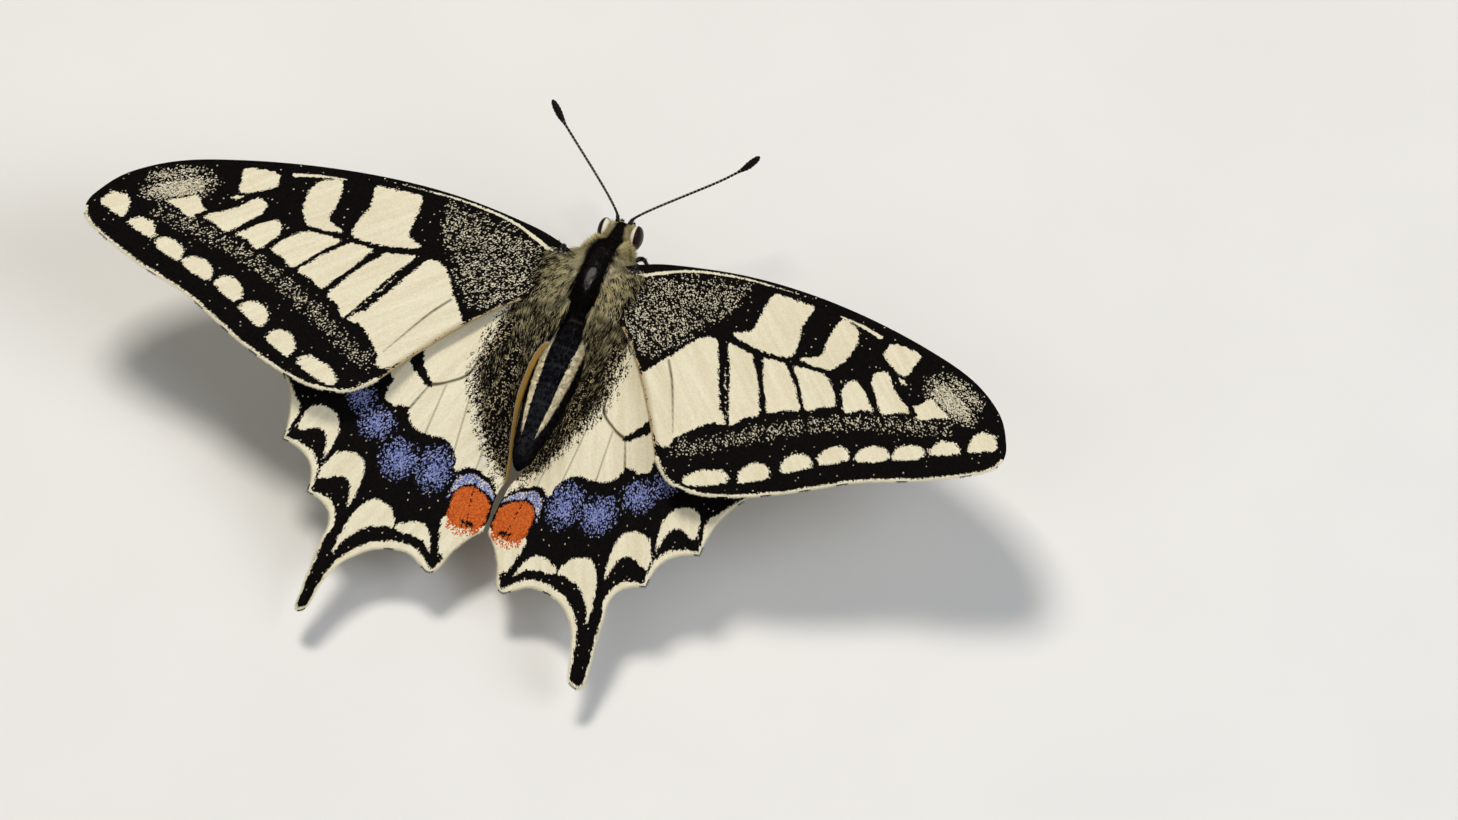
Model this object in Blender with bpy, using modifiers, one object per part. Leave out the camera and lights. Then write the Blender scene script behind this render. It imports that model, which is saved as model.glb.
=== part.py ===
"""Old World swallowtail (Papilio machaon), life size, standing still with its wings spread.

Metres, +Z up. +Y is the head end and +X the butterfly's right. The origin is on the floor under
the middle of the whole animal. Lengths below are in millimetres, in the body's own frame, whose
zero is the point midway between the two front wing hinges; MM and REST bring them to the world.
"""

import math

import bmesh
import bpy
import numpy as np
from mathutils import Matrix, Vector

MM = 0.001

# Where the body's frame stands: the hinges' height over the feet, and the shift that centres it.
HINGE_HEIGHT = 9.6
BODY_FORWARD = 12.9
REST = Vector((0.0, BODY_FORWARD, HINGE_HEIGHT))

# Clearance between neighbouring solids, and the thickness of the thinnest ones.
GAP = 0.3
PLATE = 0.5
FEELER_RADIUS = 0.26

# Wing planes. Both pairs rise outwards; the hind pair lies under the fore pair and droops behind.
WING_DIHEDRAL = math.radians(8.0)
HINGE_X = 3.4
HINGE_RISE = 0.6
HIND_HINGE = (2.6, -5.0)
HIND_SWEEP = -0.048
HIND_FORESHORTENING = 0.96
HIND_BELOW_FORE = 0.86
HIND_DROOP_FROM = -14.5
HIND_DROOP_SLOPE = 0.29
HIND_DROOP_EASE = 1.5
INNER_FOLD_WIDTH = 2.2
INNER_FOLD_DEPTH = 1.3
INNER_FOLD_FROM = -1.5
INNER_FOLD_TO = -21.0
INNER_FOLD_EASE = 6.0
TAIL_TWIST = math.radians(40.0)
TAIL_MIDDLE = 9.3
TAIL_ROOT = -29.0
TAIL_TWIST_LENGTH = 4.0
FORE_CAMBER = 0.35
FORE_CAMBER_EASE = 10.0
FORE_CHORD = 22.0
STRIP = 2.9

# Fore wing outline, outward and forward of its costal hinge, in three smooth runs.
FORE_COSTA = [(-2.2, -0.9), (0.0, 0.1), (3.0, 0.65), (9.0, 0.75), (15.0, 0.1), (21.0, -1.4), (27.0, -3.6),
              (32.0, -6.1), (35.5, -9.2), (37.2, -12.3), (37.5, -13.8)]
FORE_OUTER = [(37.5, -13.8), (36.4, -15.4), (31.5, -17.4), (26.5, -18.7), (21.5, -20.9), (17.5, -22.3),
              (14.0, -22.9), (11.0, -22.2), (8.9, -20.0)]
FORE_INNER = [(8.9, -20.0), (6.4, -15.2), (3.6, -10.4), (0.8, -6.8), (-2.2, -4.6)]

# Hind wing outline, outward and forward of its own hinge: front edge, vein ends, tail and back edge.
HIND_COSTA = [(-1.6, 1.2), (2.5, 1.2), (8.0, -1.6), (13.0, -5.8), (16.9, -10.6), (18.1, -13.6), (17.9, -15.6)]
HIND_VEIN_ENDS = [(17.9, -15.6), (15.9, -21.2), (12.4, -25.0), (9.9, -28.6)]
HIND_NOTCHES = [0.6, 1.2, 1.2]
TAIL = [(9.9, -28.6), (9.95, -31.0), (10.25, -33.2), (10.1, -34.6), (9.5, -35.0), (8.9, -34.6),
        (8.55, -33.0), (8.0, -31.0), (7.1, -29.4), (5.9, -28.2), (4.5, -27.6)]
HIND_LOBE = [(4.5, -27.6), (2.9, -27.4), (1.6, -28.0), (0.7, -28.5), (0.0, -27.9), (-0.4, -26.2), (-1.1, -24.5),
             (-2.1, -23.5)]
HIND_INNER = [(-2.1, -23.5), (-2.3, -22.0), (-2.32, -18.4), (-1.6, -15.2), (-0.8, -12.0), (-0.3, -8.8),
              (-0.4, -5.0), (-1.6, -2.2)]

# Trunk, as oval sections from front to back: y, height of the middle, half width, half height.
HEAD = [(5.55, -2.2, 0.45, 0.45), (5.3, -2.15, 0.95, 0.9), (4.7, -2.1, 1.25, 1.25), (4.0, -2.1, 1.3, 1.35),
        (3.4, -2.15, 1.15, 1.25), (3.0, -2.2, 0.8, 0.9)]
THORAX = [(2.65, -2.1, 0.9, 1.0), (2.2, -2.0, 1.75, 1.75), (1.2, -1.75, 2.45, 2.45), (0.0, -1.6, 2.85, 2.8),
          (-1.6, -1.7, 3.05, 2.85), (-3.2, -1.9, 3.0, 2.65), (-4.6, -2.3, 2.6, 2.2), (-5.5, -2.6, 1.95, 1.7)]
ABDOMEN = [(-5.8, -2.75, 1.6, 1.55), (-6.6, -3.0, 2.05, 1.95), (-8.2, -3.7, 2.3, 2.1), (-10.4, -4.2, 2.25, 2.05),
           (-12.6, -4.6, 2.05, 1.95), (-14.8, -4.95, 1.75, 1.75), (-16.8, -5.2, 1.4, 1.4), (-18.4, -5.35, 1.0, 1.0),
           (-19.4, -5.45, 0.5, 0.5)]
SECTION_SIDES = 20

EYE_CENTRE = (1.42, 4.35, -1.95)
EYE_HALF = (0.55, 0.98, 1.12)

# Feelers, palps and tongue, as routes on the right-hand side.
ANTENNA_ROUTE = [(0.75, 5.5, -1.05), (2.2, 7.2, -0.75), (4.3, 9.2, -0.4), (6.4, 11.0, 0.1), (8.0, 12.2, 0.9)]
CLUB_ROUTE = [(8.0, 12.2, 0.9), (8.8, 12.8, 1.6), (9.3, 13.1, 2.25)]
CLUB_RADIUS = 0.46
PALP_ROUTE = [(0.48, 5.2, -3.75), (0.52, 5.95, -3.35), (0.54, 6.15, -2.75), (0.52, 6.1, -2.2)]
PALP_RADIUS = 0.34
TONGUE_CENTRE = (0.0, 4.75, -4.2)
TONGUE_COIL_RADIUS = 0.4
TONGUE_WIRE_RADIUS = 0.25

# Legs on the right-hand side: hip, knee, ankle and the two ends of the foot on the floor.
LEGS = {
    "fore_leg": [(0.8, 1.9, -4.6), (1.15, 3.9, -4.5), (2.1, 4.1, -3.8), (3.0, 3.1, -3.7), (5.0, 4.9, -8.0),
                 (5.9, 6.1, -9.3), (6.9, 7.7, -9.45)],
    "mid_leg": [(1.3, -1.2, -4.95), (3.4, -0.6, -5.0), (5.6, -1.0, -4.7), (8.0, -2.0, -8.2), (9.4, -2.4, -9.3),
                (11.2, -2.9, -9.45)],
    "hind_leg": [(1.2, -3.6, -4.8), (2.8, -5.6, -5.5), (4.3, -7.8, -5.2), (5.9, -11.0, -8.2), (6.6, -13.2, -9.3),
                 (7.3, -16.0, -9.45)],
}
LEG_RADII = [0.4, 0.27, 0.25]

CREAM = (0.78, 0.72, 0.50, 1.0)
BLACK = (0.015, 0.013, 0.012, 1.0)
OLIVE = (0.16, 0.15, 0.08, 1.0)
BROWN = (0.05, 0.03, 0.02, 1.0)

for leftover in list(bpy.data.objects):
    bpy.data.objects.remove(leftover, do_unlink=True)

body_parts = bpy.data.collections.new("swallowtail_butterfly")
bpy.context.scene.collection.children.link(body_parts)
cutters = bpy.data.collections.new("cutters")
cutters.hide_render = True
bpy.context.scene.collection.children.link(cutters)


def plain_material(name, colour, roughness):
    """A Principled material of one colour."""
    material = bpy.data.materials.new(name)
    material.use_nodes = True
    shader = material.node_tree.nodes["Principled BSDF"]
    shader.inputs["Base Color"].default_value = colour
    shader.inputs["Roughness"].default_value = roughness
    return material


def add_object(name, mesh, material, collection=body_parts):
    """Link a mesh as one named object, shaded smooth except over sharp edges."""
    mesh.materials.append(material)
    mesh.shade_smooth()
    mesh.set_sharp_from_angle(angle=math.radians(40.0))
    piece = bpy.data.objects.new(name, mesh)
    collection.objects.link(piece)
    return piece


def mesh_of(shape, name):
    """The mesh of a bmesh with its faces turned outwards."""
    bmesh.ops.recalc_face_normals(shape, faces=shape.faces)
    mesh = bpy.data.meshes.new(name)
    shape.to_mesh(mesh)
    shape.free()
    return mesh


def world(x, y, z):
    """A place in the body's frame, in millimetres, as a place in the world, in metres."""
    return (Vector((x, y, z)) + REST) * MM


def smooth_line(points, steps=6):
    """Points along a Catmull-Rom curve through the given points, its first end included."""
    ring = np.array([points[0], *points, points[-1]], float)
    t = np.arange(steps)[:, None] / steps
    runs = []
    for before, start, end, after in zip(ring, ring[1:], ring[2:], ring[3:]):
        bend = 2 * before - 5 * start + 4 * end - after
        twist = 3 * (start - end) + after - before
        runs.append(start + 0.5 * (t * (end - before) + t**2 * bend + t**3 * twist))
    return np.concatenate([*runs, ring[-1:]])


def notch(start, end, depth, steps=8):
    """A hollow between two vein ends: the chord, pushed towards the body by a parabola."""
    start = np.array(start)
    end = np.array(end)
    chord = end - start
    inward = np.array([chord[1], -chord[0]]) / np.hypot(*chord)
    t = (np.arange(steps + 1)[:, None] / steps) ** 1.15
    return start + chord * t + inward * depth * 4 * t * (1 - t)


def closed_outline(*runs):
    """The runs joined end to end, each run's last point being the next one's first."""
    return np.concatenate([run[:-1] for run in runs])


def fore_place(u, v):
    """The fore wing's middle surface: a raised plane, arched a little from front to back."""
    chord = np.clip(-v / FORE_CHORD, 0.0, 1.0)
    arch = FORE_CAMBER * 4 * chord * (1 - chord) * np.clip(u / FORE_CAMBER_EASE, 0.0, 1.0)
    x = HINGE_X + u * math.cos(WING_DIHEDRAL)
    z = HINGE_RISE + u * math.sin(WING_DIHEDRAL) + arch
    return x, v, z


def hind_place(u, v):
    """The hind wing's middle surface: under the fore wing, drooping behind, folded down beside the abdomen.

    The tail is twisted along its length, inner edge up.
    """
    twist = TAIL_TWIST * np.clip((TAIL_ROOT - v) / TAIL_TWIST_LENGTH, 0.0, 1.0)
    across = (u - TAIL_MIDDLE) * (v < TAIL_ROOT)
    u = u - across * (1.0 - np.cos(twist))
    lift = -across * np.sin(twist)
    x = HIND_HINGE[0] + u * math.cos(WING_DIHEDRAL)
    y = HIND_HINGE[1] + HIND_SWEEP * u + HIND_FORESHORTENING * v
    behind = np.clip(HIND_DROOP_FROM - y, 0.0, None)
    droop = HIND_DROOP_SLOPE * behind**2 / (behind + HIND_DROOP_EASE)
    fold_in = np.clip((INNER_FOLD_FROM - v) / INNER_FOLD_EASE, 0.0, 1.0)
    fold_out = np.clip((v - INNER_FOLD_TO) / INNER_FOLD_EASE, 0.0, 1.0)
    fold = np.clip(1.0 - u / INNER_FOLD_WIDTH, 0.0, 1.25) ** 2 * fold_in * fold_out
    z = HINGE_RISE + (x - HINGE_X) * math.tan(WING_DIHEDRAL) - HIND_BELOW_FORE - droop
    return x, y, z - INNER_FOLD_DEPTH * fold + lift


def wing_plate(name, outline, place, side, material, keep_clear_of):
    """A wing: a filled flat curve, cut into strips so that it can bend, laid on its surface and thickened."""
    curve = bpy.data.curves.new(name, "CURVE")
    curve.dimensions = "2D"
    curve.fill_mode = "BOTH"
    spline = curve.splines.new("POLY")
    spline.points.add(len(outline) - 1)
    for point, (u, v) in zip(spline.points, outline):
        point.co = (u, v, 0.0, 1.0)
    spline.use_cyclic_u = True
    flat = bpy.data.objects.new(name + "_outline", curve)
    cutters.objects.link(flat)
    graph = bpy.context.evaluated_depsgraph_get()
    drawn = bpy.data.meshes.new_from_object(flat.evaluated_get(graph))
    bpy.data.objects.remove(flat, do_unlink=True)
    shape = bmesh.new()
    shape.from_mesh(drawn)
    bmesh.ops.remove_doubles(shape, verts=shape.verts, dist=0.02)
    bmesh.ops.dissolve_limit(shape, angle_limit=0.01, verts=shape.verts, edges=shape.edges)
    for normal, edge in (((1, 0, 0), outline[:, 0]), ((0, 1, 0), outline[:, 1])):
        for cut in np.arange(edge.min() + 0.4 * STRIP, edge.max(), STRIP):
            everything = shape.verts[:] + shape.edges[:] + shape.faces[:]
            bmesh.ops.bisect_plane(shape, geom=everything, plane_co=Vector(normal) * cut, plane_no=normal, dist=0.01)
    bmesh.ops.triangulate(shape, faces=shape.faces, quad_method="SHORT_EDGE")
    for vertex in shape.verts:
        x, y, z = place(vertex.co.x, vertex.co.y)
        vertex.co = world(side * x, y, z)
    mesh = mesh_of(shape, name)
    if mesh.polygons[0].normal.z < 0:
        mesh.flip_normals()
    piece = add_object(name, mesh, material)
    thick = piece.modifiers.new("thickness", "SOLIDIFY")
    thick.thickness = PLATE * MM
    thick.offset = 0.0
    for blocker in keep_clear_of:
        cut = piece.modifiers.new("clear_of_" + blocker.name, "BOOLEAN")
        cut.operation = "DIFFERENCE"
        cut.object = blocker
    return piece


def trunk_piece(name, sections, material, grow=0.0, collection=body_parts):
    """A length of the trunk: oval rings bridged from front to back and closed at both ends."""
    shape = bmesh.new()
    rings = []
    for y, middle, half_width, half_height in sections:
        size = Matrix.Diagonal(((half_width + grow) * MM, (half_height + grow) * MM, 1.0, 1.0))
        upright = Matrix.Rotation(math.radians(90.0), 4, "X")
        place = Matrix.Translation(world(0.0, y, middle))
        ring = bmesh.ops.create_circle(shape, segments=SECTION_SIDES, radius=1.0, matrix=place @ upright @ size)
        rings.append(ring["verts"])
    for front, back in zip(rings, rings[1:]):
        edges = [edge for edge in shape.edges if all(v in front or v in back for v in edge.verts)]
        bmesh.ops.bridge_loops(shape, edges=edges)
    for end, step in ((rings[0], grow), (rings[-1], -grow)):
        bmesh.ops.contextual_create(shape, geom=end)
        for vertex in end:
            vertex.co.y += step * MM
    return add_object(name, mesh_of(shape, name), material, collection)


def tube(name, route, radii, material):
    """A round feeler or limb: a curve with a bevel along a smooth route, made a closed mesh."""
    curve = bpy.data.curves.new(name, "CURVE")
    curve.dimensions = "3D"
    curve.bevel_depth = MM
    curve.bevel_resolution = 2
    curve.use_fill_caps = True
    spline = curve.splines.new("POLY")
    spline.points.add(len(route) - 1)
    for point, place, radius in zip(spline.points, route, radii):
        point.co = (*world(*place), 1.0)
        point.radius = radius
    drawn = bpy.data.objects.new(name, curve)
    cutters.objects.link(drawn)
    graph = bpy.context.evaluated_depsgraph_get()
    mesh = bpy.data.meshes.new_from_object(drawn.evaluated_get(graph))
    bpy.data.objects.remove(drawn, do_unlink=True)
    shape = bmesh.new()
    shape.from_mesh(mesh)
    bmesh.ops.remove_doubles(shape, verts=shape.verts, dist=1e-6)
    return add_object(name, mesh_of(shape, name), material)


def stand_flat(leg):
    """Cut a leg off level at the floor, so that its foot rests on a small flat."""
    shape = bmesh.new()
    shape.from_mesh(leg.data)
    everything = shape.verts[:] + shape.edges[:] + shape.faces[:]
    cut = bmesh.ops.bisect_plane(shape, geom=everything, plane_co=(0, 0, 0), plane_no=(0, 0, 1), dist=1e-6,
                                 clear_inner=True)
    rim = [edge for edge in cut["geom_cut"] if isinstance(edge, bmesh.types.BMEdge)]
    bmesh.ops.holes_fill(shape, edges=rim)
    bmesh.ops.recalc_face_normals(shape, faces=shape.faces)
    shape.to_mesh(leg.data)
    shape.free()


def mirrored(route, side):
    """The route on the butterfly's right (side 1) or left (side -1)."""
    return [(side * x, y, z) for x, y, z in route]


def radii_along(count, first, last):
    """Radii that change evenly along a route."""
    return np.linspace(first, last, count)


def fore_outline():
    """The fore wing's edge, all the way round."""
    return closed_outline(smooth_line(FORE_COSTA), smooth_line(FORE_OUTER), smooth_line(FORE_INNER))


def hind_outline():
    """The hind wing's edge, all the way round, hollowed between the vein ends and drawn out into the tail."""
    ends = zip(HIND_VEIN_ENDS, HIND_VEIN_ENDS[1:], HIND_NOTCHES)
    notches = [notch(start, end, depth) for start, end, depth in ends]
    smooth = [smooth_line(run, 4) for run in (TAIL, HIND_LOBE, HIND_INNER)]
    return closed_outline(smooth_line(HIND_COSTA), *notches, *smooth)


scales_cream = plain_material("wing_scales", CREAM, 0.8)
hair_olive = plain_material("body_hair", OLIVE, 0.9)
cuticle_black = plain_material("black_cuticle", BLACK, 0.4)
eye_brown = plain_material("eye_lens", BROWN, 0.15)

trunk = {name: trunk_piece(name, sections, hair_olive)
         for name, sections in (("head", HEAD), ("thorax", THORAX), ("abdomen", ABDOMEN))}
clearances = [trunk_piece(name + "_clearance", sections, hair_olive, GAP, cutters)
              for name, sections in (("thorax", THORAX), ("abdomen", ABDOMEN))]
for cutter in clearances:
    cutter.hide_render = True
    cutter.display_type = "WIRE"

eye_cutters = []
for side, letter in ((1, "R"), (-1, "L")):
    wing_plate("forewing_" + letter, fore_outline(), fore_place, side, scales_cream, clearances)
    wing_plate("hindwing_" + letter, hind_outline(), hind_place, side, scales_cream, clearances)

    x, y, z = EYE_CENTRE
    for name, swell, target in (("eye_", 0.0, body_parts), ("eye_socket_", GAP, cutters)):
        shape = bmesh.new()
        size = Matrix.Diagonal(((EYE_HALF[0] + swell) * MM, (EYE_HALF[1] + swell) * MM,
                                (EYE_HALF[2] + swell) * MM, 1.0))
        bmesh.ops.create_uvsphere(shape, u_segments=16, v_segments=10, radius=1.0,
                                  matrix=Matrix.Translation(world(side * x, y, z)) @ size)
        ball = add_object(name + letter, mesh_of(shape, name + letter), eye_brown, target)
    ball.hide_render = True
    ball.display_type = "WIRE"
    socket = trunk["head"].modifiers.new("eye_socket_" + letter, "BOOLEAN")
    socket.operation = "DIFFERENCE"
    socket.object = ball

    shaft = smooth_line(mirrored(ANTENNA_ROUTE, side), 4)
    club = smooth_line(mirrored(CLUB_ROUTE, side), 5)[1:]
    swelling = CLUB_RADIUS * np.sin(np.linspace(0.25, 0.9, len(club)) * math.pi)
    radii = [*radii_along(len(shaft), FEELER_RADIUS, FEELER_RADIUS), *np.maximum(swelling, FEELER_RADIUS)]
    tube("antenna_" + letter, [*shaft, *club], radii, cuticle_black)

    palp = smooth_line(mirrored(PALP_ROUTE, side), 3)
    tube("palp_" + letter, palp, radii_along(len(palp), PALP_RADIUS, FEELER_RADIUS), hair_olive)

    for leg_name, joints in LEGS.items():
        route = smooth_line(mirrored(joints, side), 3)
        radii = np.interp(np.linspace(0.0, 2.0, len(route)), range(3), LEG_RADII)
        stand_flat(tube(leg_name + "_" + letter, route, radii, cuticle_black))

bpy.ops.mesh.primitive_torus_add(location=world(*TONGUE_CENTRE), rotation=(0.0, math.radians(90.0), 0.0),
                                 major_segments=16, minor_segments=8, major_radius=TONGUE_COIL_RADIUS * MM,
                                 minor_radius=TONGUE_WIRE_RADIUS * MM)
tongue = bpy.context.object
tongue.name = "proboscis"
tongue.data.materials.append(cuticle_black)
tongue.data.shade_smooth()
for owner in tongue.users_collection:
    owner.objects.unlink(tongue)
body_parts.objects.link(tongue)
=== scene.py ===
"""The looks of the swallowtail butterfly: skin, coat, wing scales, eyes, feelers and legs, laid round the
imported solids."""

import math

import bpy
import numpy as np
from mathutils import Matrix, Vector, geometry


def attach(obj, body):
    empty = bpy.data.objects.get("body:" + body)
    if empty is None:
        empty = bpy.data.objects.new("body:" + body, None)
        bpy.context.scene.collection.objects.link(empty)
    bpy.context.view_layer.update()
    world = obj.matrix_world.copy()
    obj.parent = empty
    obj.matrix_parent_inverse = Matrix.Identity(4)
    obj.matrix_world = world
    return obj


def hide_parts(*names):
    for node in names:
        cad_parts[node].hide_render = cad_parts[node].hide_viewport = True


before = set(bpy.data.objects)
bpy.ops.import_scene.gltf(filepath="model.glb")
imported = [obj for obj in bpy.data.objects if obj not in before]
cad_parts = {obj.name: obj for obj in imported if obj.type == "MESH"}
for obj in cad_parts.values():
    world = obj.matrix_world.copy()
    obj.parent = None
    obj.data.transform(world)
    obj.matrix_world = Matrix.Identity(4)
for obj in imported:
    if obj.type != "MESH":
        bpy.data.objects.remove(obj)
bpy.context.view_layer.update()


# Camera. It looks down on the back from behind and to the right, from far enough off to be nearly parallel.
VIEW_AZIMUTH = math.radians(21.17)
VIEW_ELEVATION = math.radians(50.91)
VIEW_ROLL = math.radians(-1.157)
VIEW_CENTRE = Vector((0.01327, 0.00732, 0.00147))
VIEW_DISTANCE = 1.5
VIEW_WIDTH = 0.1215

camera_data = bpy.data.cameras.new("camera")
camera_data.lens = camera_data.sensor_width * VIEW_DISTANCE / VIEW_WIDTH
camera_data.clip_start = 0.05
camera_data.dof.use_dof = False
camera = bpy.data.objects.new("camera", camera_data)
turn = Matrix.Rotation(VIEW_AZIMUTH, 4, "Z") @ Matrix.Rotation(math.pi / 2 - VIEW_ELEVATION, 4, "X")
turn = turn @ Matrix.Rotation(VIEW_ROLL, 4, "Z")
camera.matrix_world = Matrix.Translation(VIEW_CENTRE) @ turn @ Matrix.Translation((0, 0, VIEW_DISTANCE))
bpy.context.scene.collection.objects.link(camera)
bpy.context.scene.camera = camera


# Studio. A pale painted board under the animal and three soft lamps, the strongest high up and ahead of its
# left shoulder.
def srgb(hex_colour):
    """An sRGB hex colour as the linear RGBA that Blender's sockets take."""
    channels = np.array([int(hex_colour[i : i + 2], 16) for i in (1, 3, 5)]) / 255
    linear = np.where(channels <= 0.04045, channels / 12.92, ((channels + 0.055) / 1.055) ** 2.4)
    return (*linear, 1.0)


def add_node(tree, kind, sockets=None, **settings):
    """One node: its settings by name, and for each of its sockets a value or another node's output."""
    node = tree.nodes.new("ShaderNode" + kind)
    for name, value in settings.items():
        setattr(node, name, value)
    for socket, value in (sockets or {}).items():
        if isinstance(value, bpy.types.NodeSocket):
            tree.links.new(value, node.inputs[socket])
        else:
            node.inputs[socket].default_value = value
    return node


def mixed(tree, share, first, second):
    """The colour that goes from the first to the second as the share goes from 0 to 1."""
    mix = add_node(tree, "Mix", {"Factor": share, "A": first, "B": second}, data_type="RGBA")
    return mix.outputs["Result"]


def new_material(name, **constants):
    """A material with a Principled shader, whose constants are set on its own sockets; the shader and its
    tree."""
    material = bpy.data.materials.new(name)
    material.use_nodes = True
    tree = material.node_tree
    shader = tree.nodes["Principled BSDF"]
    for socket, value in constants.items():
        shader.inputs[socket.replace("_", " ").title().replace("Ior", "IOR")].default_value = value
    return material, tree, shader


FLOOR_SIZE = 3.0
GRAINS_PER_METRE = 60.0
board, board_tree, board_shader = new_material("painted_board", roughness=0.9)
board_place = add_node(board_tree, "TexCoord").outputs["Object"]
grain = add_node(board_tree, "TexNoise", {"Scale": GRAINS_PER_METRE, "Detail": 2.0, "Vector": board_place})
board_colour = mixed(board_tree, grain.outputs["Fac"], srgb("#e3e2de"), srgb("#e9e8e4"))
board_tree.links.new(board_colour, board_shader.inputs["Base Color"])
half = FLOOR_SIZE / 2
floor_mesh = bpy.data.meshes.new("floor")
floor_mesh.from_pydata([(-half, -half, 0), (half, -half, 0), (half, half, 0), (-half, half, 0)], [],
                       [(0, 1, 2, 3)])
floor_mesh.materials.append(board)
floor = bpy.data.objects.new("floor", floor_mesh)
bpy.context.scene.collection.objects.link(floor)

# Each lamp's place and the length of its side in metres, its power in watts and its colour.
LAMPS = {
    "key": ((-0.13, 0.10, 0.56), 0.15, 2.1, "#fff9f0"),
    "fill": ((0.45, -0.10, 0.40), 0.35, 1.7, "#eef3ff"),
    "back": ((-0.15, -0.50, 0.45), 0.40, 0.7, "#ffffff"),
}
for name, (place, size, power, colour) in LAMPS.items():
    lamp_data = bpy.data.lights.new(name, "AREA")
    lamp_data.size = size
    lamp_data.energy = power
    lamp_data.color = srgb(colour)[:3]
    lamp = bpy.data.objects.new(name, lamp_data)
    lamp.matrix_world = Matrix.Translation(place) @ Vector(place).to_track_quat("Z", "Y").to_matrix().to_4x4()
    bpy.context.scene.collection.objects.link(lamp)
bpy.context.scene.view_settings.view_transform = "Standard"

ROOM_LIGHT = 0.18
world = bpy.data.worlds.new("studio")
world.use_nodes = True
world.node_tree.nodes["Background"].inputs["Color"].default_value = srgb("#eef0f2")
world.node_tree.nodes["Background"].inputs["Strength"].default_value = ROOM_LIGHT
bpy.context.scene.world = world


# Wings. Two pairs of thin dry membranes on stiff veins, shingled on both faces with flat powdery scales that
# make the colours. Each is one closed sheet, filled inside its outline, laid on the surface its solid has,
# with the veins standing proud and the panels between them sagging a little.
MM = 0.001
REST = np.array([0.0, 12.9, 9.6])
WING_DIHEDRAL = math.radians(8.0)
HINGE = (3.4, 0.6)
MEMBRANE = 0.11
SHEET_STEP = 0.15
VEIN_HEIGHT = 0.055
VEIN_HALF_WIDTH = 0.16
PANEL_SAG = 0.1
PANEL_REACH = 1.1
RIPPLE_HEIGHT = 0.05
FAR_OUTSIDE = 50.0

# The fore wing's arch, and how the hind wing hangs behind it and droops. In both, u runs out from the hinge
# and v runs forwards.
FORE_CHORD = 22.0
FORE_CAMBER = 0.35
FORE_CAMBER_EASE = 10.0
HIND_HINGE = (2.6, -5.0)
HIND_SWEEP = -0.048
HIND_FORESHORTENING = 0.96
HIND_BELOW_FORE = 0.86
DROOP_FROM = -14.5
DROOP_SLOPE = 0.29
DROOP_EASE = 1.5

# The hollow along the hind wing's inner side, the crease past which it hangs down, and the twist of its tail.
HOLLOW_WIDTH = 2.2
HOLLOW_DEPTH = 1.3
HOLLOW_FRONT = -1.5
HOLLOW_BACK = -21.0
HOLLOW_EASE = 6.0
CREASE_FRONT = -2.2
CREASE_BACK = -22.0
CREASE_SOFTNESS = 0.02
HANGING_OUTWARD = 0.9
HANGING_DOWN = 0.95
TAIL_TWIST = math.radians(40.0)
TAIL_ROOT = -29.0
TAIL_MIDDLE = 9.3
TAIL_TWIST_LENGTH = 4.0

FORE_COSTA = [(-2.2, -1.1), (0.0, -0.15), (3.0, 0.5), (9.0, 0.75), (15.0, 0.1), (21.0, -1.4), (27.0, -3.6),
              (32.0, -6.1), (35.5, -9.2), (37.2, -12.3), (37.5, -13.8)]
FORE_OUTER = [(37.5, -13.8), (36.4, -15.4), (31.5, -17.4), (26.5, -18.7), (21.5, -20.9), (17.5, -22.3),
              (14.0, -22.9), (11.0, -22.2), (8.9, -20.0)]
FORE_INNER = [(8.9, -20.0), (6.4, -15.2), (3.6, -10.4), (0.8, -6.8), (-2.2, -4.6), (-2.2, -1.1)]
HIND_COSTA = [(-1.6, 1.2), (2.5, 1.2), (8.0, -1.6), (13.0, -5.8), (16.9, -10.6), (18.1, -13.6), (17.9, -15.6)]
HIND_VEIN_ENDS = [(17.9, -15.6), (15.9, -21.2), (12.4, -25.0), (9.9, -28.6)]
HIND_NOTCHES = [0.6, 1.2, 1.2]
HIND_TAIL = [(9.9, -28.6), (10.05, -31.0), (10.45, -33.2), (10.3, -34.6), (9.55, -35.0), (8.8, -34.6),
             (8.35, -33.0), (7.9, -31.0), (7.1, -29.4), (5.9, -28.2), (4.5, -27.6)]
HIND_LOBE = [(4.5, -27.6), (2.9, -27.4), (1.6, -28.0), (0.7, -28.5), (0.0, -27.9), (-0.5, -26.3),
             (-1.4, -24.7), (-2.4, -23.5)]
HIND_INNER = [(-2.4, -23.5), (-2.48, -22.0), (-2.32, -18.4), (-1.6, -15.2), (-0.8, -12.0), (-0.3, -8.8),
              (-0.4, -5.0), (-1.6, -2.2), (-1.6, 1.2)]
HIND_FLAP = [(-2.4, -23.5), (-2.48, -22.0), (-2.4, -19.2), (-3.2, -17.2), (-3.2, -14.6), (-2.8, -11.6),
             (-2.4, -8.8), (-2.3, -5.4), (-1.8, -2.2), (-1.6, 1.2)]


def smooth_line(points, steps=8, ring=False):
    """Points along the Catmull-Rom curve through the given ones: each span is the cubic whose slope at a
    point is half the step between that point's neighbours. An open line keeps its last point."""
    points = np.array(points, float)
    if ring:
        around = np.concatenate([points[-1:], points, points[:2]])
    else:
        around = np.concatenate([points[:1], points, points[-1:]])
    before, start, end, after = (around[i : len(around) - 3 + i, None] for i in range(4))
    t = (np.arange(steps) / steps)[:, None]
    bend = 2 * before - 5 * start + 4 * end - after
    twist = 3 * (start - end) + after - before
    line = (start + 0.5 * (t * (end - before) + t**2 * bend + t**3 * twist)).reshape(-1, points.shape[1])
    return line if ring else np.concatenate([line, points[-1:]])


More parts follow.
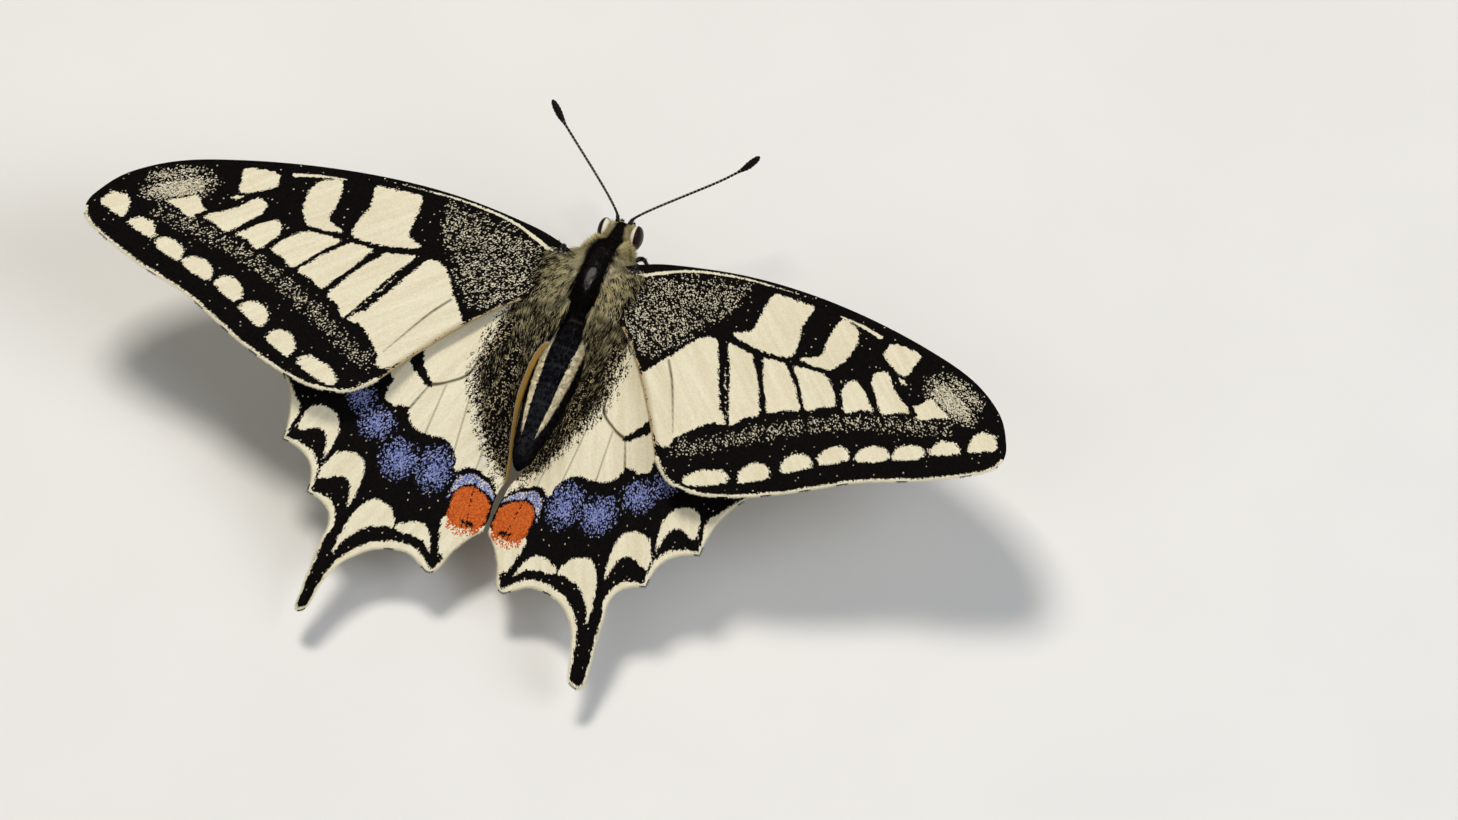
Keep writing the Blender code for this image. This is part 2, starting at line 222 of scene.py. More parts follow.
def notch(start, end, depth, steps=12):
    """A hollow between two vein ends: the chord, pushed towards the body by a parabola."""
    start, end = np.array(start), np.array(end)
    chord = end - start
    inward = np.array([chord[1], -chord[0]]) / np.hypot(*chord)
    t = (np.arange(steps + 1)[:, None] / steps) ** 1.15
    return start + chord * t + inward * depth * 4 * t * (1 - t)


def spaced(line, step):
    """The line's points again at even steps of arc length, its ends kept."""
    along = np.concatenate([[0], np.cumsum(np.linalg.norm(np.diff(line, axis=0), axis=1))])
    even = np.linspace(0, along[-1], max(2, round(along[-1] / step) + 1))
    return np.stack([np.interp(even, along, column) for column in line.T], axis=1)


def outline_of(sides):
    """A closed outline from its sides, end to end, without the points that two sides share."""
    return np.concatenate([side[:-1] for side in sides])


def line_distance(points, line):
    """For each point, its distance to a polyline and how far along the line, in vertices, the nearest place
    is."""
    best = np.full(len(points), np.inf)
    where = np.zeros(len(points))
    start, run = line[:-1], np.diff(line, axis=0)
    for first in range(0, len(points), 4000):
        part = points[first : first + 4000, None]
        t = np.clip(((part - start) * run).sum(2) / np.maximum((run**2).sum(1), 1e-12), 0, 1)
        away = np.linalg.norm(part - start - t[..., None] * run, axis=2)
        near = away.argmin(1)
        row = np.arange(len(near))
        best[first : first + 4000] = away[row, near]
        where[first : first + 4000] = near + t[row, near]
    return best, where


def inside(points, ring):
    """Whether each point lies in a ring: a ray to its right crosses the ring an odd number of times."""
    u, v = points[:, 0], points[:, 1]
    odd = np.zeros(len(points), bool)
    for (u0, v0), (u1, v1) in zip(ring, np.roll(ring, -1, axis=0)):
        if v0 != v1:
            odd ^= ((v0 > v) != (v1 > v)) & (u < (u1 - u0) * (v - v0) / (v1 - v0) + u0)
    return odd


def patch_depth(points, ring):
    """How deep each point lies inside a ring, in millimetres; below zero outside it."""
    away, _ = line_distance(points, np.concatenate([ring, ring[:1]]))
    return np.where(inside(points, ring), away, -away)


def spots(points, rings):
    """The depth inside whichever of several smooth rings holds the point deepest."""
    return np.max([patch_depth(points, smooth_line(ring, 5, ring=True)) for ring in rings], axis=0)


def strokes(points, lines):
    """The depth inside tapered strokes: at each place, the stroke's half width less the distance to its
    middle."""
    depth = np.full(len(points), -FAR_OUTSIDE)
    for line, widths in lines:
        away, where = line_distance(points, smooth_line(line, 6))
        half_width = np.interp(where, np.linspace(0, (len(line) - 1) * 6, len(widths)), widths)
        depth = np.maximum(depth, half_width - away)
    return depth


def along_and_across(points, centre, tilt):
    """How far each point lies from a centre along an axis tilted by so many degrees, and across that axis."""
    turned = math.radians(tilt)
    offset = points - np.array(centre)
    along = offset[:, 0] * math.cos(turned) + offset[:, 1] * math.sin(turned)
    across = offset[:, 1] * math.cos(turned) - offset[:, 0] * math.sin(turned)
    return along, across


def cloud(points, centre, radii, tilt, edge):
    """A soft oval: 1 in its middle, falling evenly to 0 over the outer part of its radius given by edge."""
    along, across = along_and_across(points, centre, tilt)
    return np.clip((1 - np.hypot(along / radii[0], across / radii[1])) / edge, 0, 1)


def ramp(values, low, high):
    """0 below low and 1 above high, with a smooth rise between; it falls instead where high is under low."""
    t = np.clip((values - low) / (high - low), 0, 1)
    return t * t * (3 - 2 * t)


def sheet_inside(outline, step):
    """Points and triangles that fill an outline: its own points, and rows of points a step apart inside it,
    joined by Delaunay's rule, so that every triangle is nearly even."""
    low, high = outline.min(0), outline.max(0)
    u, v = np.meshgrid(np.arange(low[0], high[0], step), np.arange(low[1], high[1], step * math.sqrt(3) / 2))
    u[1::2] += step / 2
    grid = np.stack([u.ravel(), v.ravel()], axis=1)
    grid = grid[inside(grid, outline)]
    grid = grid[line_distance(grid, np.concatenate([outline, outline[:1]]))[0] > 0.55 * step]
    edges = [(i, (i + 1) % len(outline)) for i in range(len(outline))]
    places = [Vector(place) for place in np.concatenate([outline, grid]).tolist()]
    filled = geometry.delaunay_2d_cdt(places, edges, [], 1, 1e-5)
    return np.array([place[:] for place in filled[0]]), np.array(filled[2])


def new_piece(name, places, faces, material, values):
    """An object of these places in millimetres, with its point values stored as attributes."""
    mesh = bpy.data.meshes.new(name)
    faces = np.asarray(faces)
    mesh.vertices.add(len(places))
    mesh.loops.add(faces.size)
    mesh.polygons.add(len(faces))
    mesh.vertices.foreach_set("co", ((places + REST) * MM).astype(np.float32).ravel())
    mesh.loops.foreach_set("vertex_index", faces.astype(np.int32).ravel())
    mesh.polygons.foreach_set("loop_start", np.arange(0, faces.size, faces.shape[1], dtype=np.int32))
    mesh.polygons.foreach_set("use_smooth", np.ones(len(faces), bool))
    mesh.update(calc_edges=True)
    for attribute, data in values.items():
        data = np.asarray(data, np.float32)
        kind, field = ("FLOAT", "value") if data.ndim == 1 else ("FLOAT_VECTOR", "vector")
        mesh.attributes.new(attribute, kind, "POINT").data.foreach_set(field, data.ravel())
    mesh.materials.append(material)
    piece = bpy.data.objects.new(name, mesh)
    bpy.context.scene.collection.objects.link(piece)
    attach(piece, "root")
    return piece


def set_bake_map(piece, point_places):
    """Store the export's UV map from one place for each point of the mesh, between 0 and 1."""
    corners = np.empty(len(piece.data.loops), np.int32)
    piece.data.loops.foreach_get("vertex_index", corners)
    layer = piece.data.uv_layers.new(name="OFBake")
    layer.uv.foreach_set("vector", point_places[corners].astype(np.float32).ravel())


def fore_place(u, v):
    """The fore wing's middle surface: a raised plane, arched a little from front to back."""
    chord = np.clip(-v / FORE_CHORD, 0.0, 1.0)
    arch = FORE_CAMBER * 4 * chord * (1 - chord) * np.clip(u / FORE_CAMBER_EASE, 0.0, 1.0)
    rise = HINGE[1] + u * math.sin(WING_DIHEDRAL) + arch
    return np.stack([HINGE[0] + u * math.cos(WING_DIHEDRAL), v, rise], axis=1)


CREASE = smooth_line(HIND_INNER[1:8], 6)


def past_fold(u, v):
    """How far a place lies beyond the crease along the hind wing's inner edge, where the wing turns down."""
    return np.interp(v, CREASE[:, 1], CREASE[:, 0]) - u


def hind_place(u, v):
    """The hind wing's middle surface: just under the fore wing, drooping behind, folded down beside the
    abdomen, with its tail twisted along its length, inner edge up. Past the crease it hangs almost straight
    down."""
    beyond = past_fold(u, v) * (v < CREASE_FRONT) * (v > CREASE_BACK)
    hanging = (np.sqrt(beyond**2 + CREASE_SOFTNESS) + beyond) / 2 * (v < CREASE_FRONT) * (v > CREASE_BACK)
    u = u + hanging * HANGING_OUTWARD
    twist = TAIL_TWIST * np.clip((TAIL_ROOT - v) / TAIL_TWIST_LENGTH, 0.0, 1.0)
    across = (u - TAIL_MIDDLE) * (v < TAIL_ROOT)
    u = u - across * (1.0 - np.cos(twist))
    x = HIND_HINGE[0] + u * math.cos(WING_DIHEDRAL)
    y = HIND_HINGE[1] + HIND_SWEEP * u + HIND_FORESHORTENING * v
    behind = np.clip(DROOP_FROM - y, 0.0, None)
    droop = DROOP_SLOPE * behind**2 / (behind + DROOP_EASE)
    hollow = (np.clip(1.0 - u / HOLLOW_WIDTH, 0.0, 1.25) ** 2
              * np.clip((HOLLOW_FRONT - v) / HOLLOW_EASE, 0.0, 1.0)
              * np.clip((v - HOLLOW_BACK) / HOLLOW_EASE, 0.0, 1.0))
    plane = HINGE[1] + (x - HINGE[0]) * math.tan(WING_DIHEDRAL) - HIND_BELOW_FORE
    height = plane - droop - HOLLOW_DEPTH * hollow - across * np.sin(twist) - HANGING_DOWN * hanging
    return np.stack([x, y, height], axis=1)


FORE_VEINS = [
    [(-2.0, -1.6), (0.5, -0.55), (6.0, -0.45), (14.0, -0.9), (22.0, -2.9), (29.0, -6.0), (34.0, -9.6)],
    [(-2.0, -2.0), (1.0, -1.1), (8.0, -1.1), (15.0, -1.6), (19.5, -2.4), (24.0, -4.0), (30.0, -7.0),
     (35.6, -11.2)],
    [(19.5, -2.4), (21.2, -4.0), (21.1, -5.8), (19.5, -8.0)],
    [(-1.6, -2.2), (5.0, -3.6), (9.8, -6.1), (13.2, -7.4), (16.3, -7.8), (19.5, -8.0)],
    [(19.5, -8.0), (22.3, -11.9), (23.6, -14.4), (25.2, -19.2)],
    [(21.1, -5.8), (22.5, -7.0), (28.6, -10.9), (33.0, -14.0), (35.0, -16.1)],
    [(21.1, -5.0), (26.0, -7.0), (31.6, -10.4), (36.9, -14.3)],
    [(20.4, -7.0), (25.5, -11.4), (27.5, -14.2), (30.0, -17.9)],
    [(16.2, -7.7), (19.4, -12.7), (20.6, -15.6), (22.4, -20.5)],
    [(13.2, -7.4), (16.4, -13.7), (17.6, -17.4), (19.4, -21.7)],
    [(10.0, -6.2), (13.5, -15.4), (14.4, -18.6), (15.9, -22.7)],
    [(-1.6, -3.0), (3.0, -7.2), (6.3, -9.8), (9.5, -17.3), (12.2, -22.7)],
]
FORE_PALE = [
    [(12.4, -0.8), (14.4, -1.0), (16.2, -1.5), (15.9, -3.5), (16.2, -5.2), (16.1, -7.2), (13.3, -7.0),
     (10.6, -5.8), (11.9, -5.0), (12.1, -3.0)],
    [(19.0, -2.1), (20.4, -2.8), (21.05, -3.9), (21.05, -5.3), (20.8, -6.6), (19.9, -7.8), (18.4, -7.6),
     (17.0, -7.1), (18.5, -6.4), (18.6, -5.4), (18.55, -4.2)],
    [(24.0, -3.9), (25.4, -3.9), (26.75, -4.5), (26.7, -5.6), (26.3, -7.0), (25.2, -6.6), (24.2, -5.6),
     (23.7, -4.9)],
    [(25.9, -7.1), (26.4, -7.35), (26.7, -7.9), (26.1, -7.7)],
    [(27.8, -10.2), (28.5, -9.85), (29.2, -8.95), (30.2, -9.55), (31.4, -10.45), (30.3, -10.85),
     (29.05, -11.35)],
    [(23.7, -7.3), (24.3, -6.9), (24.9, -7.1), (26.05, -8.7), (28.0, -10.75), (27.0, -10.9), (25.9, -11.4),
     (24.8, -9.8), (23.9, -8.4)],
    [(21.9, -8.7), (22.5, -8.5), (23.1, -8.7), (24.1, -9.8), (25.1, -11.2), (24.0, -11.3), (22.9, -11.9),
     (22.1, -11.0), (21.7, -9.8)],
    [(16.9, -8.0), (18.0, -7.95), (19.1, -8.1), (20.5, -9.2), (21.7, -11.4), (20.6, -11.8), (19.5, -12.4),
     (18.7, -11.2), (18.0, -10.05), (17.1, -8.8)],
    [(14.1, -7.8), (15.1, -7.75), (16.05, -8.0), (17.4, -9.8), (19.0, -12.4), (17.7, -12.8), (16.3, -13.5),
     (15.5, -11.7), (14.7, -9.8)],
    [(10.6, -7.1), (11.2, -6.8), (11.9, -7.0), (13.1, -7.8), (14.1, -9.4), (14.7, -10.9), (15.8, -13.7),
     (14.8, -14.3), (13.6, -15.5), (12.8, -13.4), (11.9, -11.2), (11.2, -9.2)],
    [(6.3, -9.8), (6.9, -8.3), (7.7, -7.1), (8.5, -6.6), (9.1, -6.6), (9.7, -7.2), (10.3, -8.6),
     (11.3, -11.2), (12.2, -13.4), (13.3, -15.3), (12.3, -15.4), (11.2, -16.2), (9.9, -17.6), (9.3, -17.8),
     (8.0, -14.2), (7.0, -11.6)],
    [(4.8, -11.1), (5.5, -10.2), (6.5, -9.4), (7.6, -11.6), (8.7, -14.4), (9.8, -17.7), (9.0, -18.8),
     (7.6, -17.2), (6.0, -14.2), (4.6, -11.9)],
]
FORE_DUSTED_BASE = [(-4.0, -2.5), (0.4, -1.8), (1.5, -1.4), (4.7, -0.2), (8.8, 0.0), (10.3, -0.2),
                    (10.2, -1.0), (9.8, -3.0), (8.8, -4.9), (7.6, -6.5), (6.0, -8.3), (4.9, -9.8),
                    (0.0, -9.0), (-4.0, -6.0)]
FORE_MARGIN_SPOTS = [((35.2, -12.5), (1.2, 1.2), 15), ((32.3, -13.8), (1.25, 0.85), 15),
                     ((29.5, -14.9), (1.35, 0.92), 18), ((26.6, -15.7), (1.4, 0.95), 16),
                     ((23.5, -16.6), (1.3, 1.02), 24), ((20.7, -18.0), (1.3, 1.05), 24),
                     ((17.6, -19.8), (1.35, 1.05), 24), ((13.8, -21.2), (1.9, 0.95), 16)]
FORE_DARK_VEINS = [
    ([(8.0, -5.4), (10.0, -6.3), (13.2, -7.45), (16.3, -7.75), (19.5, -8.0), (21.0, -8.6)],
     [0.25, 0.2, 0.2, 0.22, 0.25, 0.2]),
    ([(9.7, -6.2), (11.3, -9.2), (12.6, -12.6), (13.7, -15.6)], [0.28, 0.2, 0.13, 0.15]),
    ([(13.3, -7.6), (14.6, -10.2), (16.4, -13.8)], [0.3, 0.22, 0.18]),
    ([(16.2, -7.8), (17.7, -9.8), (19.4, -12.8)], [0.28, 0.2, 0.16]),
    ([(20.0, -8.2), (21.4, -9.8), (22.4, -12.0)], [0.3, 0.24, 0.2]),
    ([(22.2, -7.8), (23.6, -9.0), (25.5, -11.6)], [0.35, 0.24, 0.2]),
    ([(24.9, -6.5), (26.6, -8.8), (28.7, -11.0)], [0.28, 0.22, 0.2]),
    ([(21.4, -3.4), (21.5, -5.2), (20.8, -7.2)], [0.2, 0.22, 0.25]),
    ([(22.6, -4.6), (25.0, -6.6), (27.0, -7.6)], [0.1, 0.15, 0.12]),
]
FORE_BAND_MIDDLE = [(10.5, -18.7), (14.7, -16.7), (20.2, -14.0), (24.4, -12.7), (31.6, -11.9)]
FORE_LINES = [([(-0.5, -1.6), (0.4, -1.34), (1.6, -0.9), (4.7, 0.2), (8.8, 0.42), (12.2, 0.12),
                (16.0, -0.45)],
               [0.2, 0.22, 0.19, 0.13, 0.1, 0.06, 0.0]),
              ([(18.4, -1.75), (20.6, -2.35), (22.8, -3.35)], [0.02, 0.14, 0.2])]


def margin_spot(points, centre, radii, tilt):
    """A half-moon near the outer margin: an oval cut off flat on its outer side."""
    along, across = along_and_across(points, centre, tilt)
    reach = ((along / radii[0]) ** 2 + ((across + 0.3 * radii[1]) / (1.3 * radii[1])) ** 2) ** 0.5
    oval = (1.0 - reach) * radii[1]
    return np.minimum(oval, across + 0.8 * radii[1] - 0.12 * along**2 / radii[0])


def fore_pattern(points, edge, run):
    """The fore wing's colours at each point: depth in the pale patches, share of dusting, blue and red, and
    the depth of fine dark lines. edge is the distance to the outline and run names the side of the wing it is
    on."""
    u = points[:, 0]
    pale = spots(points, FORE_PALE)
    for spot in FORE_MARGIN_SPOTS:
        pale = np.maximum(pale, margin_spot(points, *spot))
    pale = np.maximum(pale, 2.5 * strokes(points, FORE_LINES))
    pale = np.minimum(pale, -1.4 * strokes(points, FORE_DARK_VEINS))
    margin = np.where(run > 1, np.where(run < 2, 0.2, 0.12) - edge, -FAR_OUTSIDE)
    pale = np.maximum(pale, margin - 9 * (u < 1.0))
    fine = strokes(points, [([(6.3, -9.8), (7.6, -12.4), (9.5, -17.3)], [0.12, 0.12, 0.05])])
    fine = np.maximum(fine, np.where(run > 2, 0.05 - edge / 6, -FAR_OUTSIDE))
    base = ramp(patch_depth(points, np.array(FORE_DUSTED_BASE)), -0.5, 0.7) * ramp(edge, 0.1, 0.5)
    away, _ = line_distance(points, smooth_line(FORE_BAND_MIDDLE, 6))
    dust = 0.007 + 0.28 * base + 0.22 * ramp(away, 1.25, 0.2)
    apex = cloud(points, (31.2, -8.5), (3.8, 2.2), -38, 0.6)
    dust = np.where(edge < 0.45, 0.004, np.maximum(dust, 0.85 * apex))
    return {"pale": pale, "dust": dust, "blue": 0 * u, "red": 0 * u - FAR_OUTSIDE, "fine": fine,
            "ochre": np.where((run > 2) & (edge < 0.25), 0.5, 0.0)}


HIND_VEINS = [
    [(-1.4, 0.6), (2.5, 0.5), (8.0, -2.6), (12.5, -7.0), (16.6, -12.6), (17.7, -15.6)],
    [(0.6, -0.8), (5.0, -3.2), (8.4, -7.4), (12.2, -12.6), (15.8, -21.0)],
    [(8.4, -7.4), (8.0, -10.4), (6.1, -12.7)],
    [(8.0, -10.4), (10.0, -15.4), (12.3, -24.8)],
    [(0.6, -1.2), (2.2, -5.0), (3.3, -10.4), (4.8, -12.0), (6.1, -12.7)],
    [(6.1, -12.7), (7.0, -15.3), (8.0, -20.0), (8.9, -26.0), (9.4, -30.0), (9.5, -34.6)],
    [(4.8, -12.0), (5.0, -17.0), (4.75, -22.0), (4.5, -27.4)],
    [(3.3, -10.4), (2.3, -14.0), (2.0, -18.0), (1.5, -23.0), (0.8, -28.2)],
    [(0.6, -1.5), (0.6, -9.0), (0.2, -16.2), (-0.4, -20.0), (-1.4, -23.6)],
]
HIND_PALE = [
    [(3.0, -2.2), (3.2, -4.6), (3.3, -7.3), (3.3, -9.6), (3.0, -11.6), (1.7, -13.9), (0.2, -15.9),
     (-1.2, -17.3), (-2.6, -18.2), (-3.2, -19.6), (-2.4, -20.0), (-1.8, -19.0), (-1.0, -18.4), (-0.2, -18.25),
     (0.6, -18.5), (1.2, -19.0), (1.55, -19.3), (1.8, -18.6), (2.3, -17.6), (3.0, -17.05), (3.6, -16.9),
     (4.6, -17.0), (5.7, -16.9), (6.3, -16.5), (6.8, -15.9), (7.05, -15.25), (7.7, -15.2), (8.4, -15.4),
     (9.3, -14.8), (9.1, -13.4), (9.9, -12.4), (11.0, -11.0), (11.6, -9.4), (12.8, -8.0), (13.2, -6.0),
     (8.2, -1.2), (5.0, 0.2)],
    [(-2.1, -23.75), (-1.0, -23.95), (0.0, -23.9), (0.9, -23.4), (1.15, -24.0), (0.85, -25.2), (0.5, -26.4),
     (-0.1, -26.9), (-0.7, -26.6), (-1.2, -25.0)],
    [(1.15, -26.9), (1.4, -25.9), (1.9, -25.0), (2.6, -24.6), (3.5, -24.75), (4.35, -25.3), (4.5, -25.75),
     (3.9, -25.95), (3.0, -25.85), (2.1, -26.05), (1.5, -26.5)],
    [(4.75, -25.6), (5.1, -24.6), (5.9, -23.9), (6.8, -23.8), (7.6, -24.4), (8.2, -25.5), (8.5, -27.0),
     (8.7, -28.6), (8.65, -29.4), (8.2, -28.2), (7.6, -27.2), (6.8, -26.4), (5.9, -25.95), (5.1, -25.8)],
    [(8.85, -25.3), (8.6, -24.0), (8.55, -22.6), (8.8, -21.3), (9.4, -20.6), (10.3, -20.5), (11.2, -20.9),
     (11.8, -21.9), (12.1, -22.9), (12.0, -23.5), (11.4, -23.4), (10.7, -22.9), (10.0, -22.8), (9.4, -23.2),
     (9.1, -24.2)],
    [(12.15, -21.8), (11.9, -20.5), (11.9, -19.0), (12.3, -17.9), (13.1, -17.4), (14.1, -17.4), (14.8, -18.0),
     (15.1, -19.0), (15.2, -19.9), (14.7, -20.0), (13.9, -19.5), (13.2, -19.35), (12.7, -19.8),
     (12.4, -20.8)],
    [(15.55, -18.1), (16.1, -17.5), (17.2, -16.9), (17.2, -18.6), (16.3, -20.0), (15.95, -20.9),
     (15.7, -20.0), (15.55, -19.0)],
    [(14.6, -12.6), (15.6, -12.4), (16.5, -13.4), (16.6, -14.8), (15.8, -15.6), (14.9, -14.8), (14.4, -13.6)],
]
HIND_RED = [(-2.2, -22.4), (-2.05, -21.3), (-1.4, -20.5), (-0.5, -20.2), (0.3, -20.5), (0.8, -21.4),
            (0.8, -22.6), (0.55, -24.0), (-0.1, -25.0), (-1.1, -24.9), (-1.85, -24.0)]
HIND_BLUE = [((3.2, -19.7), (2.0, 2.5), 0), ((6.2, -19.8), (2.05, 2.15), -15), ((9.1, -17.4), (1.9, 1.9), 10),
             ((11.0, -15.6), (1.4, 1.8), -20), ((12.9, -13.2), (1.4, 1.8), -20),
             ((14.0, -10.6), (1.2, 1.6), -20)]
HIND_CRESCENT = [(-2.4, -20.9), (-1.9, -19.7), (-1.2, -18.95), (-0.3, -18.75), (0.5, -19.0), (1.15, -19.8),
                 (1.4, -21.0), (1.35, -22.0), (1.05, -21.2), (0.4, -20.2), (-0.5, -19.9), (-1.5, -20.2)]
HIND_HAIRY = [(-9.0, 3.0), (3.0, 3.0), (3.0, -2.2), (3.1, -4.6), (3.25, -7.3), (3.25, -9.8), (1.6, -14.0),
              (-0.3, -16.4), (-2.2, -18.4), (-9.0, -18.4)]


def hind_pattern(points, edge, run):
    """The hind wing's colours at each point, as for the fore wing; run counts the sides of its outline."""
    u, v = points.T
    pale = spots(points, HIND_PALE)
    margin = np.interp(run,
                       [0.9, 1.0, 1.5, 2.0, 2.5, 3.0, 3.35, 4.0, 4.15, 4.5, 4.8, 5.0, 5.25, 5.4, 5.6, 6.0,
                        6.1], [-1, 0.12, 0.5, 0.12, 0.6, 0.12, 0.6, 0.15, 0.16, 0.16, 0.5, 0.62, 0.62, 0.3,
                               0.2, 0.25, -1])
    pale = np.maximum(pale, margin - edge)
    bar = strokes(points, [([(8.1, -10.1), (7.6, -11.4), (6.1, -12.75)], [0.55, 0.48, 0.25]),
                           ([(-1.55, -23.5), (-1.0, -23.45), (-0.5, -23.35)], [0.12, 0.22, 0.12])])
    pale = np.minimum(pale, -bar)
    vein = strokes(points, [([(-0.3, -19.8), (-0.6, -21.6), (-0.9, -23.4)], [0.0, -0.02, -0.05])])
    red = np.minimum(patch_depth(points, smooth_line(HIND_RED, 5, ring=True)) + 0.1, 0.2 * (v + 24.2))
    red = np.minimum(red, -np.maximum(bar, vein))
    fine = strokes(points,
                   [([(3.2, -7.0), (3.3, -10.4), (4.8, -12.0), (6.1, -12.7)], [0.06, 0.16, 0.14, 0.2]),
                    ([(6.1, -12.7), (7.0, -15.3)], [0.08, 0.12]),
                    ([(4.8, -12.0), (5.0, -17.2)], [0.06, 0.08]),
                    ([(2.6, -12.6), (2.2, -17.8)], [0.07, 0.07]),
                    ([(0.2, -16.2), (0.1, -18.4)], [0.08, 0.06])])
    hairy = patch_depth(points, np.array(HIND_HAIRY))
    pale = np.where(hairy > -0.9, pale * 0.16, pale)
    blue = np.max([cloud(points, *spot, 0.85) for spot in HIND_BLUE], axis=0) * 0.82
    crescent = patch_depth(points, smooth_line(HIND_CRESCENT, 5, ring=True))
    blue = np.maximum(blue, 0.72 * ramp(crescent, -0.05, 0.2))
    dust = np.maximum(0.006, 0.25 * ramp(hairy, -0.6, -0.2) * ramp(hairy, 5.0, 2.0))
    dust = np.maximum(dust, ramp(crescent, 0.0, 0.25))
    flap = past_fold(u, v) * ramp(v, -19.5, -18.0) * ramp(v, -3.0, -4.5)
    pale = np.maximum(pale, np.where(flap > 0.3, flap - 0.2, -FAR_OUTSIDE))
    # Fine dark lines along the folded flap, 0.42 mm apart: painted shade in its wrinkles.
    wrinkle = 0.06 - 0.5 * np.abs((flap + 0.04 * np.sin(3 * v)) % 0.42 - 0.21)
    fine = np.maximum(fine, np.where(flap > 0.3, wrinkle, -FAR_OUTSIDE))
    return {"pale": pale, "dust": dust, "blue": blue, "red": red, "fine": fine,
            "ochre": np.maximum(1.3 * ramp(flap, 0.35, 0.55), 0.5 * ramp(hairy, 0.0, 0.8))}


def underside(pattern):
    """The lower face of a wing: the same marks, with more pale dusting, slightly wider pale patches, less
    ochre."""
    paler = dict(pattern)
    paler["dust"] = np.clip(0.25 + 1.1 * pattern["dust"], 0, 0.8)
    paler["pale"] = pattern["pale"] + 0.1
    paler["ochre"] = 0.25 * pattern["ochre"]
    return paler


# Scales. Real ones are about 0.1 mm wide and 0.2 mm long, and lap over each other, so less of each shows.
# Each is drawn as one cell of its own colour: matt, black-brown from its pigment, cream, rust red, or blue
# from fine ridges that scatter the light.
SCALE_WIDTH = 0.08
SCALE_LENGTH = 0.13
LOWER_FACE_SHIFT = (60.0, 0.0)


def wing_scales(name, lie):
    """Wing scales whose rows run outwards at the angle lie. The patches' depths are jogged cell by cell, so
    their edges are ragged, and dusting and blue are each a share of the cells."""
    material, tree, shader = new_material(name, roughness=0.7, specular_ior_level=0.03)
    value = {key: add_node(tree, "Attribute", attribute_name=key).outputs["Fac"]
             for key in ("pale", "dust", "blue", "red", "fine", "ochre")}
    place = add_node(tree, "Attribute", attribute_name="place").outputs["Vector"]
    turned = add_node(tree, "Mapping", {"Vector": place, "Rotation": (0, 0, lie)})
    rows = add_node(tree, "Mapping",
                    {"Vector": turned.outputs[0], "Scale": (1 / SCALE_LENGTH, 1 / SCALE_WIDTH, 1.0)})
    cells = add_node(tree, "TexVoronoi", {"Vector": rows.outputs[0], "Scale": 1.0}, voronoi_dimensions="2D")
    pick = add_node(tree, "SeparateColor", {"Color": cells.outputs["Color"]})
    # Streaks along the wing lighten and darken the cream: painted shading of the membrane's faint fold lines.
    fold_lines = add_node(tree, "Mapping", {"Vector": turned.outputs[0], "Scale": (0.1, 1.5, 1.0)})
    fold_shading = add_node(tree, "TexNoise", {"Vector": fold_lines.outputs[0], "Scale": 1.0, "Detail": 4.0})
    teeth = add_node(tree, "Mapping", {"Vector": turned.outputs[0], "Scale": (1.0, 3.6, 1.0)})
    tooth = add_node(tree, "TexNoise",
                     {"Vector": teeth.outputs[0], "Scale": 1.0, "Detail": 2.0}).outputs["Fac"]
    uneven = add_node(tree, "Math", {0: tooth, 1: 0.46, 2: -0.23}, operation="MULTIPLY_ADD").outputs[0]
    uneven_pale = add_node(tree, "Math", {0: uneven, 1: value["pale"]}, operation="ADD").outputs[0]

    def ragged(depth, jog, reach):
        jogged = add_node(tree, "Math", {0: jog, 1: reach, 2: depth}, operation="MULTIPLY_ADD").outputs[0]
        limits = {"From Min": reach / 2 - 0.02, "From Max": reach / 2 + 0.02}
        return add_node(tree, "MapRange", {"Value": jogged, **limits}).outputs[0]

    red_random, green_random, blue_random = pick.outputs
    black = mixed(tree, red_random, srgb("#050404"), srgb("#100d0b"))
    dusty = mixed(tree, blue_random, srgb("#8a826b"), srgb("#dfd7be"))
    dusty = mixed(tree, value["ochre"], dusty, srgb("#a8935e"))
    dusted = add_node(tree, "Math", {0: green_random, 1: value["dust"]}, operation="LESS_THAN").outputs[0]
    colour = mixed(tree, dusted, black, dusty)
    bluish = mixed(tree, red_random, srgb("#39437a"), srgb("#939cc8"))
    blued = add_node(tree, "Math", {0: blue_random, 1: value["blue"]}, operation="LESS_THAN").outputs[0]
    colour = mixed(tree, blued, colour, bluish)
    # The cream's lightness: each scale's own random tone together with the painted fold shading.
    soft = add_node(tree, "Math", {0: green_random, 1: 0.35, 2: fold_shading.outputs["Fac"]},
                    operation="MULTIPLY_ADD")
    lightness = add_node(tree, "MapRange",
                         {"Value": soft.outputs[0], "From Min": 0.35, "From Max": 1.0}).outputs[0]
    cream = mixed(tree, lightness, srgb("#d3c9a8"), srgb("#e8e1c8"))
    vein = add_node(tree, "MapRange", {"Value": value["fine"], "From Min": -0.05, "From Max": 0.1}).outputs[0]
    cream = mixed(tree, vein, cream, srgb("#5c533d"))
    tanned = add_node(tree, "Math", {0: value["ochre"], 1: 0.7}, operation="MULTIPLY").outputs[0]
    cream = mixed(tree, tanned, cream, srgb("#c0923a"))
    colour = mixed(tree, ragged(uneven_pale, red_random, 0.2), colour, cream)
    rust = mixed(tree, green_random, srgb("#a5441a"), srgb("#cf6a2c"))
    colour = mixed(tree, ragged(value["red"], blue_random, 0.3), colour, rust)
    tree.links.new(colour, shader.inputs["Base Color"])
    bump = add_node(tree, "Bump",
                    {"Height": cells.outputs["Distance"], "Strength": 0.35, "Distance": 0.03 * MM})
    tree.links.new(bump.outputs[0], shader.inputs["Normal"])
    return material


